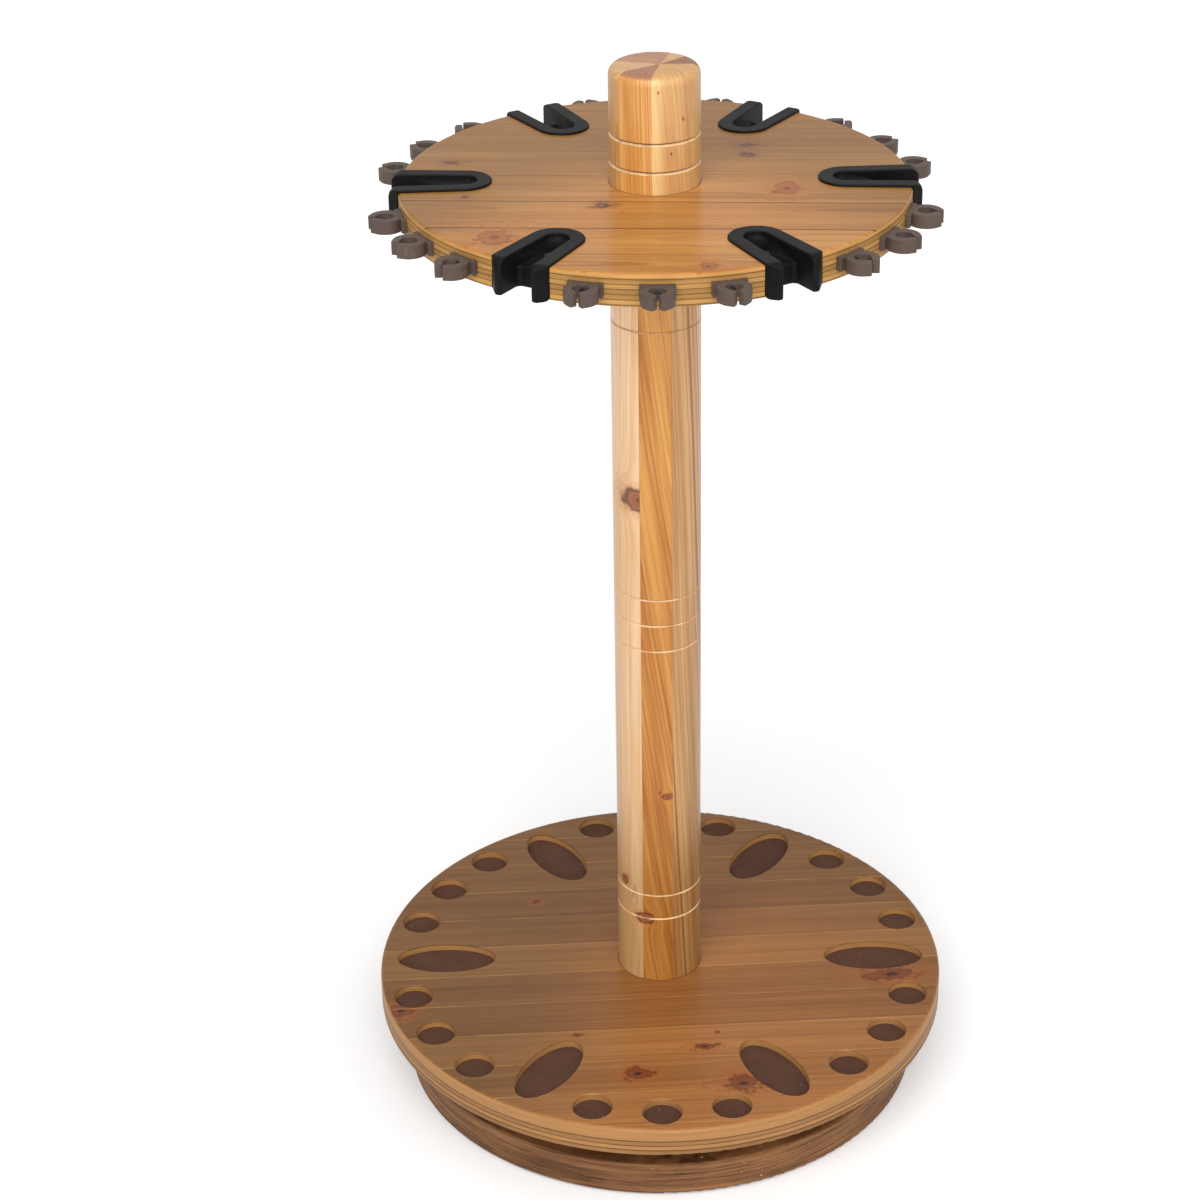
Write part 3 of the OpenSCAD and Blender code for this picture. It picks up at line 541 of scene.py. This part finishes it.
def makeFloorBoard(values):
    material, tree, shader = newMaterial(values["name"])
    spot = addNode(tree, "ShaderNodeTexCoord").outputs["Object"]
    streaks = noise(tree, stretch(tree, spot, (7, 7, 230)), 1.0, 5.0, 0.7)
    blotches = noise(tree, stretch(tree, spot, (9, 9, 30)), 1.0, 3.0, 0.6)
    fibres = noise(tree, stretch(tree, spot, (60, 60, 1500)), 1.0, 3.0, 0.65)
    mixed = timesPlus(tree, streaks, 0.7, times(tree, blotches, 0.3))
    colour = ramp(tree, mixed, [(0.4, values["deep"]), (0.6, values["pale"])])
    lines = noise(tree, stretch(tree, spot, (9, 9, 420)), 1.0, 4.0, 0.7)
    fading = smooth(tree, blotches, 0.4, 0.6, 1.0, 0.45)
    lines = times(tree, smooth(tree, lines, 0.53, 0.61), fading)
    colour = blendColour(tree, times(tree, lines, values["lineAmount"]), colour, values["line"])
    chips = smooth(tree, noise(tree, stretch(tree, spot, (150, 150, 420)), 1.0, 2.0, 0.5), 0.7, 0.74)
    chips = times(tree, chips, smooth(tree, noise(tree, spot, 11.0, 2.0, 0.5), 0.5, 0.6))
    colour = blendColour(tree, chips, colour, values["chip"])
    fine = ramp(tree, fibres, [(0.3, (0.74, 0.71, 0.68)), (0.65, (1.1, 1.1, 1.1))])
    colour = blendColour(tree, 0.8, colour, fine, "MULTIPLY")
    tree.links.new(colour, shader.inputs["Base Color"])
    tree.links.new(timesPlus(tree, blotches, 0.3, 0.42), shader.inputs["Roughness"])
    relief = minus(tree, fibres, times(tree, lines, 0.8))
    addBump(tree, shader, relief, 0.5, 0.0003)
    shader.inputs["Specular IOR Level"].default_value = 0.2
    return material


# turned and laminated wood: each stave has its own colours, grain and slant.
# The steps part the staves, by x for slabs and by degrees round the centre for sectors.
# A knot is its place (height, x, y), its size, its length and its stave, or None for any stave.
# The painted light and shade multiply the colour by height, and the grooves are heights above the foot.
# Sapwood is its stave, the two x between which it fades, and its colour.
postStaves = {
    "name": "postPine", "radius": postRadius, "foot": baseTop, "split": "slabs", "steps": (-0.0148, 0.0124),
    "centre": (0, 0), "seed": 21.0, "grooveWidth": 0.002,
    "grooves": (0.0675, 0.0925, 0.3455, 0.3705, 0.3955, 0.6445, 0.6695),
    "pale": (tint(244, 210, 168), tint(222, 163, 85), tint(218, 175, 122)),
    "deep": (tint(226, 180, 132), tint(178, 105, 36), tint(190, 140, 86)),
    "ring": (tint(196, 130, 66), tint(144, 74, 25), tint(126, 68, 28)),
    "ends": (tint(190, 144, 98), tint(176, 124, 80), tint(184, 138, 94)),
    "ringAmount": (0.62, 0.6, 0.85), "spacing": (0.0023, 0.0044, 0.0040),
    "slant": (-0.012, 0.14, 0.04), "near": (tint(184, 108, 48), 0.35),
    "fill": (tint(138, 74, 40), 0.85), "rim": (tint(66, 28, 14), 0.75),
    "heart": (tint(84, 38, 22), 0.6), "loops": 0.25,
    "cutHighlight": tint(238, 206, 158), "cutHighlightAmount": (0.18, 0.62), "shade": (tint(150, 96, 52), 0.4),
    "glue": (tint(140, 90, 52), 0.4), "endRing": (tint(112, 70, 44), 0.45),
    "rough": 0.30, "gloss": 0.35, "coat": (0.12, 0.2),
    "paintedLightByHeight": [(0.12, (0.55, 0.49, 0.36)), (0.20, (0.56, 0.50, 0.40)), (0.29, (0.74, 0.71, 0.66)),
              (0.42, (0.80, 0.79, 0.78)), (0.55, (0.83, 0.81, 0.76)), (0.66, (0.95, 0.97, 0.99)),
              (0.75, (1.06, 1.10, 1.16))],
    "knots": [((0.5817, -0.0145, -0.0351), 0.0150, 0.7, 0), ((0.1931, -0.0311, -0.0218), 0.0036, 1.4, 0),
              ((0.1587, -0.0130, -0.0357), 0.0080, 0.7, None), ((0.2937, 0.0012, -0.038), 0.0010, 1.3, 1),
              ((0.2893, 0.0080, -0.0370), 0.0058, 0.5, 1), ((0.47, 0.012, 0.036), 0.006, 1.5, None),
              ((0.71, -0.03, 0.022), 0.005, 1.3, 0)]}
finialStaves = {
    "name": "finialPine", "radius": finialRadius, "foot": topTop, "split": "sectors",
    "steps": (44.0, 74.0, 165.0, 212.0, 258.0), "centre": (0.0045, -0.0023), "seed": 37.0,
    "grooveWidth": 0.003, "grooves": (0.018, 0.042),
    "pale": (tint(214, 164, 104), tint(228, 186, 126), tint(216, 160, 100), tint(230, 184, 122),
             tint(242, 184, 108), tint(230, 184, 124)),
    "deep": (tint(186, 130, 72), tint(206, 158, 98), tint(184, 124, 68), tint(204, 150, 90),
             tint(212, 142, 66), tint(210, 156, 98)),
    "ring": (tint(150, 94, 50), tint(172, 118, 70), tint(148, 92, 50), tint(166, 106, 54),
             tint(140, 76, 28), tint(162, 104, 58)),
    "ends": (tint(140, 98, 66), tint(206, 164, 118), tint(178, 130, 98), tint(208, 166, 120),
             tint(160, 112, 84), tint(206, 160, 104)),
    "ringAmount": (0.4, 0.4, 0.45, 0.5, 0.6, 0.4),
    "spacing": (0.0032, 0.0028, 0.0036, 0.0026, 0.0030, 0.0034),
    "slant": (0.02, 0.0, -0.03, 0.02, 0.02, 0.10), "near": (tint(196, 124, 62), 0.35),
    "fill": (tint(130, 68, 34), 0.85), "rim": (tint(84, 40, 20), 0.7),
    "heart": (tint(70, 34, 20), 0.8), "loops": 0.0,
    "cutHighlight": tint(238, 206, 158), "cutHighlightAmount": (0.15, 0.65), "shade": (tint(84, 44, 20), 0.85),
    "glue": (tint(140, 90, 52), 0.4), "endRing": (tint(112, 70, 44), 0.45),
    "rough": 0.30, "gloss": 0.35, "coat": (0.12, 0.2),
    "paintedLightByHeight": [(0.86, (0.82, 0.82, 0.82)), (0.95, (0.84, 0.84, 0.84))],
    "sapwood": (5, 0.000, 0.010, tint(248, 210, 144)),
    "knots": [((0.941, 0.0028, -0.0374), 0.0006, 1.6, None),
              ((0.9169, 0.0226, -0.0299), 0.0007, 2.2, None),
              ((0.8896, 0.013, -0.0352), 0.0007, 1.6, None),
              ((0.906, -0.024, 0.028), 0.004, 1.4, None)]}


# the seams a point has passed, the number of its stave and its distance from the nearest seam
def findStaves(tree, values, parts):
    aside = minus(tree, parts[0], values["centre"][0])
    ahead = minus(tree, parts[1], values["centre"][1])
    if values["split"] == "slabs":
        measure = parts[0]
        seams = [calc(tree, "ABSOLUTE", minus(tree, parts[0], step)) for step in values["steps"]]
    else:
        turned = calc(tree, "DIVIDE", calc(tree, "ARCTAN2", ahead, aside), 2 * math.pi)
        measure = times(tree, calc(tree, "FRACT", plus(tree, turned, 1.0)), 360.0)
        seams = []
        for step in (0.0, *values["steps"]):
            cosine, sine = math.cos(math.radians(step)), math.sin(math.radians(step))
            off = minus(tree, times(tree, aside, sine), times(tree, ahead, cosine))
            out = plus(tree, times(tree, aside, cosine), times(tree, ahead, sine))
            behind = calc(tree, "LESS_THAN", out, 0.0)
            seams.append(plus(tree, calc(tree, "ABSOLUTE", off), behind))
    passed = [calc(tree, "GREATER_THAN", measure, step) for step in values["steps"]]
    stave = passed[0]
    for mask in passed[1:]:
        stave = plus(tree, stave, mask)
    near = seams[0]
    for other in seams[1:]:
        near = calc(tree, "MINIMUM", near, other)
    return passed, stave, near


# end grain, with rings and open pores
def paintEnds(tree, values, spot, passed, rings):
    shade, amount = values["endRing"]
    ends = pickColour(tree, passed, values["ends"])
    ends = blendColour(tree, times(tree, rings, amount), ends, shade)
    pores = noise(tree, spot, 900.0, 3.0, 0.7)
    pores = ramp(tree, pores, [(0.35, (0.8, 0.78, 0.76)), (0.6, (1.06, 1.06, 1.06))])
    return blendColour(tree, 0.8, ends, pores, "MULTIPLY")


# turned grooves: a pale cut with a painted highlight on the lower flank, which faces up, and a painted shade
# on the upper flank, which faces down
def paintGrooves(tree, values, spot, parts, colour):
    reach = calc(tree, "SQRT", squareSum(tree, parts[0], parts[1]))
    outside = calc(tree, "GREATER_THAN", reach, values["radius"] * 0.93)
    cutHighlight, dark = None, None
    half = values["grooveWidth"] / 2
    for height in values["grooves"]:
        off = minus(tree, parts[2], values["foot"] + height)
        lower = times(tree, smooth(tree, off, -half * 1.15, -half * 0.85),
                      smooth(tree, off, 0.0, half * 0.2, 1.0, 0.0))
        upper = times(tree, smooth(tree, off, 0.0, half * 0.2),
                      smooth(tree, off, half * 0.9, half * 1.1, 1.0, 0.0))
        cutHighlight = lower if cutHighlight is None else calc(tree, "MAXIMUM", cutHighlight, lower)
        dark = upper if dark is None else calc(tree, "MAXIMUM", dark, upper)
    broken = smooth(tree, noise(tree, stretch(tree, spot, (90, 90, 300)), 1.0, 2.0, 0.6), 0.35, 0.62,
                    *values["cutHighlightAmount"])
    cutHighlight = times(tree, times(tree, cutHighlight, broken), outside)
    shade, amount = values["shade"]
    dark = times(tree, times(tree, dark, amount), outside)
    colour = blendColour(tree, cutHighlight, colour, values["cutHighlight"])
    return blendColour(tree, dark, colour, shade)


def makeStaves(values):
    material, tree, shader = newMaterial(values["name"])
    place = addNode(tree, "ShaderNodeTexCoord")
    spot = place.outputs["Object"]
    facing = splitVector(tree, place.outputs["Normal"])
    level = smooth(tree, calc(tree, "ABSOLUTE", facing[2]), 0.5, 0.85)
    parts = splitVector(tree, spot)
    passed, stave, near = findStaves(tree, values, parts)
    above = minus(tree, parts[2], values["foot"])
    slanted = times(tree, above, pick(tree, passed, values["slant"]))
    lying = joinVector(tree, parts[2], parts[0], parts[1])
    bent, knot = placeKnots(tree, lying, values["knots"], stave)
    bent = calcVector(tree, "ADD", bent, joinVector(tree, y=slanted))
    seed = plus(tree, stave, values["seed"])
    grain = useGroup(tree, pineGrain, {"Vector": bent, "Ring Spacing": pick(tree, passed, values["spacing"]),
                                       "Waver": 0.5, "Seed": seed})
    pale, deep = pickColour(tree, passed, values["pale"]), pickColour(tree, passed, values["deep"])
    tone = smooth(tree, grain["Streaks"], 0.28, 0.72)
    colour = blendColour(tree, tone, pale, deep)
    if "sapwood" in values:
        owner, low, high, sap = values["sapwood"]
        fresh = smooth(tree, parts[0], low, high, 1.0, 0.0)
        fresh = times(tree, fresh, calc(tree, "COMPARE", stave, owner, 0.5))
        fresh = times(tree, fresh, calc(tree, "LESS_THAN", parts[1], 0.0))
        colour = blendColour(tree, times(tree, fresh, 0.8), colour, sap)
    rings = times(tree, grain["Rings"], pick(tree, passed, values["ringAmount"]))
    colour = blendColour(tree, rings, colour, pickColour(tree, passed, values["ring"]))
    # painted light and shade: the colour is multiplied by height, on the post darker towards its foot and
    # lighter high up
    colour = blendColour(tree, 1.0, colour, ramp(tree, parts[2], values["paintedLightByHeight"]), "MULTIPLY")
    colour = blendColour(tree, level, colour, paintEnds(tree, values, spot, passed, grain["Rings"]))
    fibres = ramp(tree, grain["Fibres"], [(0.3, (0.86, 0.84, 0.82)), (0.65, (1.06, 1.06, 1.06))])
    colour = blendColour(tree, 0.5, colour, fibres, "MULTIPLY")
    colour = paintKnots(tree, values, knot, colour)
    seam = smooth(tree, near, 0.00008, 0.0004, 1.0, 0.0)
    shade, amount = values["glue"]
    colour = blendColour(tree, times(tree, seam, amount), colour, shade)
    colour = paintGrooves(tree, values, spot, parts, colour)
    tree.links.new(colour, shader.inputs["Base Color"])
    worn = noise(tree, spot, 16.0, 3.0, 0.6)
    rough = timesPlus(tree, worn, 0.16, values["rough"])
    tree.links.new(timesPlus(tree, level, 0.15, rough), shader.inputs["Roughness"])
    relief = timesPlus(tree, grain["Fibres"], 0.4, times(tree, grain["Rings"], 0.4))
    relief = minus(tree, relief, times(tree, calc(tree, "MAXIMUM", seam, knot["Heart"]), 0.8))
    addBump(tree, shader, relief, 0.3, 0.0002)
    shader.inputs["Specular IOR Level"].default_value = values["gloss"]
    shader.inputs["Coat Weight"].default_value = values["coat"][0]
    shader.inputs["Coat Roughness"].default_value = values["coat"][1]
    return material


# moulded plastic and rubber: fine texture, faint flow marks and worn spots
holderPlastic = {"name": "holderPlastic", "colour": (0.0040, 0.0037, 0.0034),
                 "worn": (0.013, 0.0122, 0.0115), "grain": 900.0, "rough": 0.42, "relief": 0.00008,
                 "specular": 0.1}
clipPlastic = {"name": "clipPlastic", "colour": (0.076, 0.052, 0.041), "worn": (0.138, 0.108, 0.091),
               "grain": 700.0, "rough": 0.46, "relief": 0.0001, "specular": 0.25}
footRubber = {"name": "footRubber", "colour": (0.020, 0.020, 0.020), "worn": (0.07, 0.065, 0.06),
              "grain": 500.0, "rough": 0.7, "relief": 0.00015, "specular": 0.3}
cageNylon = {"name": "cageNylon", "colour": (0.030, 0.030, 0.031), "worn": (0.06, 0.06, 0.06),
             "grain": 1200.0, "rough": 0.4, "relief": 0.00004, "specular": 0.4}


def makeMoulded(values):
    material, tree, shader = newMaterial(values["name"])
    spot = addNode(tree, "ShaderNodeTexCoord").outputs["Object"]
    pits = noise(tree, spot, values["grain"], 3.0, 0.6)
    patches = noise(tree, spot, 34.0, 4.0, 0.6)
    scuffs = smooth(tree, noise(tree, stretch(tree, spot, (160, 160, 60)), 1.0, 4.0, 0.7), 0.6, 0.74)
    colour = ramp(tree, patches, [(0.3, values["colour"]), (0.8, tuple(v * 1.35 for v in values["colour"]))])
    colour = blendColour(tree, times(tree, scuffs, 0.6), colour, values["worn"])
    speck = ramp(tree, pits, [(0.3, (0.82, 0.82, 0.82)), (0.7, (1.12, 1.12, 1.12))])
    colour = blendColour(tree, 0.7, colour, speck, "MULTIPLY")
    tree.links.new(colour, shader.inputs["Base Color"])
    rough = timesPlus(tree, patches, 0.16, timesPlus(tree, scuffs, 0.1, values["rough"]))
    tree.links.new(rough, shader.inputs["Roughness"])
    addBump(tree, shader, pits, 0.5, values["relief"])
    shader.inputs["Specular IOR Level"].default_value = values["specular"]
    return material


# felted pads in the recesses
padValues = {"name": "padFelt", "dark": (0.076, 0.034, 0.021), "light": (0.104, 0.050, 0.032),
             "speck": (0.34, 0.26, 0.20)}


def makePads(values):
    material, tree, shader = newMaterial(values["name"])
    spot = addNode(tree, "ShaderNodeTexCoord").outputs["Object"]
    fibres = noise(tree, spot, 1400.0, 4.0, 0.7, 0.6)
    cloudy = noise(tree, spot, 45.0, 4.0, 0.6)
    mixed = timesPlus(tree, fibres, 0.5, times(tree, cloudy, 0.5))
    colour = ramp(tree, mixed, [(0.35, values["dark"]), (0.65, values["light"])])
    dots = addNode(tree, "ShaderNodeTexVoronoi", {"Vector": spot, "Scale": 160.0}).outputs["Distance"]
    dots = smooth(tree, dots, 0.07, 0.13, 1.0, 0.0)
    rare = smooth(tree, noise(tree, spot, 70.0, 2.0, 0.5), 0.58, 0.64)
    colour = blendColour(tree, times(tree, dots, rare), colour, values["speck"])
    tree.links.new(colour, shader.inputs["Base Color"])
    tree.links.new(timesPlus(tree, cloudy, 0.12, 0.82), shader.inputs["Roughness"])
    addBump(tree, shader, fibres, 0.7, 0.0003)
    shader.inputs["Specular IOR Level"].default_value = 0.08
    shader.inputs["Sheen Weight"].default_value = 0.03
    shader.inputs["Sheen Roughness"].default_value = 0.5
    return material


# metals: zinc on the screws, drawn aluminium rings, polished balls
zincValues = {"name": "zincSteel", "light": (0.62, 0.61, 0.58), "dark": (0.40, 0.39, 0.37), "rough": 0.32}
ringValues = {"name": "ringAluminium", "light": (0.72, 0.72, 0.73), "dark": (0.52, 0.52, 0.53),
              "rough": 0.28}
blackValues = {"name": "blackSteel", "light": (0.110, 0.105, 0.100), "dark": (0.045, 0.043, 0.041),
               "rough": 0.36}
ballValues = {"name": "ballSteel", "light": (0.80, 0.80, 0.81), "dark": (0.66, 0.66, 0.67), "rough": 0.08}


def makeMetal(values):
    material, tree, shader = newMaterial(values["name"])
    spot = addNode(tree, "ShaderNodeTexCoord").outputs["Object"]
    brushed = noise(tree, stretch(tree, spot, (90, 90, 2600)), 1.0, 3.0, 0.6)
    # the metal's own dull patches, in tone and roughness
    shadeAndDullPatches = noise(tree, spot, 120.0, 4.0, 0.6)
    mixed = timesPlus(tree, brushed, 0.4, times(tree, shadeAndDullPatches, 0.6))
    colour = ramp(tree, mixed, [(0.3, values["dark"]), (0.7, values["light"])])
    tree.links.new(colour, shader.inputs["Base Color"])
    tree.links.new(timesPlus(tree, shadeAndDullPatches, 0.2, values["rough"]), shader.inputs["Roughness"])
    addBump(tree, shader, brushed, 0.3, 0.00005)
    shader.inputs["Metallic"].default_value = 1.0
    return material


# moulded edges: one holder and one clip are copied, merged and rounded, and turned to every bay
holderSoft = {"start": "rod_holder", "slot": "black_holder", "widths": (0.0012, 0.0008, 0.0005),
              "merge": 0.0001, "sharp": 65, "stray": 2.5, "seat": topTop}
clipSoft = {"start": "rod_clip", "slot": "clip_rubber", "widths": (0.0005, 0.0003),
            "merge": 0.00002, "sharp": 50, "stray": 3.0, "seat": 0.0,
            "mouth": {"gap": 0.0005, "depth": 0.0040, "spread": 0.0031, "fade": 0.0080}}


def bayAngle(node, step=15):
    middle = sum((point.co for point in node.data.vertices), Vector())
    return math.radians(round(math.degrees(math.atan2(middle.y, middle.x)) / step) * step)


# spreads the lips of a clip apart, most at their tips, where the photograph shows them open
def openMouth(shape, gap, depth, spread, fade):
    tip = max(point.co.x for point in shape.verts)
    for point in shape.verts:
        out = 1 - (tip - point.co.x) / depth
        side = abs(point.co.y)
        if out > 0 and side < fade:
            point.co.y += math.copysign(spread * out * (1 - (side - gap) / (fade - gap)), point.co.y)


# turns a shape about the post
def turnShape(shape, angle):
    matrix = Matrix.Rotation(angle, 3, "Z")
    bmesh.ops.rotate(shape, cent=(0, 0, 0), matrix=matrix, verts=shape.verts)


# the rounded shape lying along x, or nothing where a corner strayed from its place
def roundShape(node, width, values):
    shape = bmesh.new()
    shape.from_mesh(node.data)
    turnShape(shape, -bayAngle(node))
    bmesh.ops.remove_doubles(shape, verts=shape.verts, dist=values["merge"])
    bmesh.ops.dissolve_degenerate(shape, dist=values["merge"], edges=shape.edges)
    bmesh.ops.dissolve_limit(shape, angle_limit=math.radians(0.5), verts=shape.verts, edges=shape.edges)
    if "mouth" in values:
        openMouth(shape, **values["mouth"])
    shape.normal_update()
    chosen = []
    for edge in shape.edges:
        if len(edge.link_faces) != 2 or not edge.is_convex:
            continue
        seated = max(abs(point.co.z - values["seat"]) for point in edge.verts) < 0.0003
        if edge.calc_face_angle() > math.radians(values["sharp"]) and not seated:
            chosen.append(edge)
    before = kdtree.KDTree(len(shape.verts))
    for index, point in enumerate(shape.verts):
        before.insert(point.co, index)
    before.balance()
    bmesh.ops.bevel(shape, geom=chosen, offset=width, offset_type="OFFSET", segments=3, profile=0.5,
                    affect="EDGES", clamp_overlap=False, material=-1)
    if max(before.find(point.co)[2] for point in shape.verts) > width * values["stray"]:
        shape.free()
        return None
    return shape


def softEdges(values):
    alike = [node for name, node in sorted(nodes.items()) if name.startswith(values["start"])]
    shape = None
    for width in values["widths"]:
        for node in alike:
            shape = shape or roundShape(node, width, values)
    if shape is None:
        return
    for node in alike:
        turned = shape.copy()
        turnShape(turned, bayAngle(node))
        for face in turned.faces:
            face.smooth = True
        mesh = bpy.data.meshes.new(node.name + "Soft")
        turned.to_mesh(mesh)
        turned.free()
        piece = bpy.data.objects.new(node.name + "Soft", mesh)
        scene.collection.objects.link(piece)
        piece.data.materials.append(node.data.materials[0])
        piece.modifiers.new("evenNormals", "WEIGHTED_NORMAL").weight = 80
        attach(piece, "rotor")
        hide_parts(node.name)
    shape.free()
    print("edges rounded on", len(alike), "of", values["start"])


def dress(piece, material):
    piece.data.materials.clear()
    piece.data.materials.append(material)


finishes = {"base": makeBoard(baseBoard), "top": makeBoard(topBoard), "floor": makeFloorBoard(floorBoard),
            "post": makeStaves(postStaves), "finial": makeStaves(finialStaves),
            "holder": makeMoulded(holderPlastic), "clip": makeMoulded(clipPlastic),
            "foot": makeMoulded(footRubber), "cage": makeMoulded(cageNylon), "pad": makePads(padValues),
            "zinc": makeMetal(zincValues), "black": makeMetal(blackValues),
            "ring": makeMetal(ringValues), "ball": makeMetal(ballValues)}
wornBy = {"base_disc": "base", "top_disc": "top", "floor_disc": "floor", "spacer_disc": "floor",
          "post": "post", "finial": "finial", "rubber_feet": "foot", "ball_cage": "cage",
          "bearing_balls": "ball", "bearing_outer_ring": "ring", "bearing_inner_ring": "ring",
          "round_butt_pads": "pad", "oval_butt_pads": "pad", "clip_screws": "black",
          "holder_screws": "black"}
for name, node in nodes.items():
    if name.startswith("rod_holder"):
        finish = "holder"
    elif name.startswith("rod_clip"):
        finish = "clip"
    else:
        finish = wornBy.get(name, "zinc")
    dress(node, finishes[finish])
print("finishes given to", len(nodes), "pieces")
softEdges(holderSoft)
softEdges(clipSoft)


# pale floor, soft daylight from the left, a weaker light from the right and a low one from the front
stageValues = {"size": 14.0, "floor": (0.90, 0.90, 0.90), "glow": 0.13, "sky": 0.46,
               "key": (2.1, (-12, 42), 50), "fill": (0.7, (40, 30), 60), "front": (0.8, (-8, 78), 40)}


# 1 for the rays that a camera, a mirror or glass sends, 0 for the light that falls on things
def seenDirectly(tree):
    rays = addNode(tree, "ShaderNodeLightPath").outputs
    seen = calc(tree, "MAXIMUM", rays["Is Camera Ray"], rays["Is Glossy Ray"])
    return calc(tree, "MAXIMUM", seen, rays["Is Transmission Ray"])


def makeStage(values):
    mesh = bpy.data.meshes.new("paleFloor")
    shape = bmesh.new()
    bmesh.ops.create_grid(shape, x_segments=1, y_segments=1, size=values["size"] / 2)
    shape.to_mesh(mesh)
    shape.free()
    floor = bpy.data.objects.new("paleFloor", mesh)
    scene.collection.objects.link(floor)
    material, tree, shader = newMaterial("paleFloor")
    spot = addNode(tree, "ShaderNodeTexCoord").outputs["Object"]
    deeper = tuple(v * 0.985 for v in values["floor"])
    shade = ramp(tree, noise(tree, spot, 3.0), [(0.3, values["floor"]), (0.7, deeper)])
    tree.links.new(shade, shader.inputs["Base Color"])
    seen = seenDirectly(tree)
    shader.inputs["Emission Color"].default_value = (1, 1, 1, 1)
    tree.links.new(times(tree, seen, values["glow"]), shader.inputs["Emission Strength"])
    shader.inputs["Roughness"].default_value = 0.9
    shader.inputs["Specular IOR Level"].default_value = 0.1
    dress(floor, material)


def makeSun(name, strength, tilt, spread):
    data = bpy.data.lights.new(name, "SUN")
    data.energy = strength
    data.angle = math.radians(spread)
    sun = bpy.data.objects.new(name, data)
    sun.rotation_euler = (math.radians(tilt[1]), math.radians(tilt[0]), 0)
    scene.collection.objects.link(sun)


def makeSky(strength):
    world = bpy.data.worlds.new("softSky")
    scene.world = world
    world.use_nodes = True
    tree = world.node_tree
    background = tree.nodes["Background"]
    seen = seenDirectly(tree)
    background.inputs["Color"].default_value = (1, 1, 1, 1)
    tree.links.new(timesPlus(tree, seen, 1.0 - strength, strength), background.inputs["Strength"])


makeStage(stageValues)
makeSun("keyLight", *stageValues["key"])
makeSun("fillLight", *stageValues["fill"])
makeSun("frontLight", *stageValues["front"])
makeSky(stageValues["sky"])
scene.view_settings.view_transform = "Standard"
print("floor and lights set")
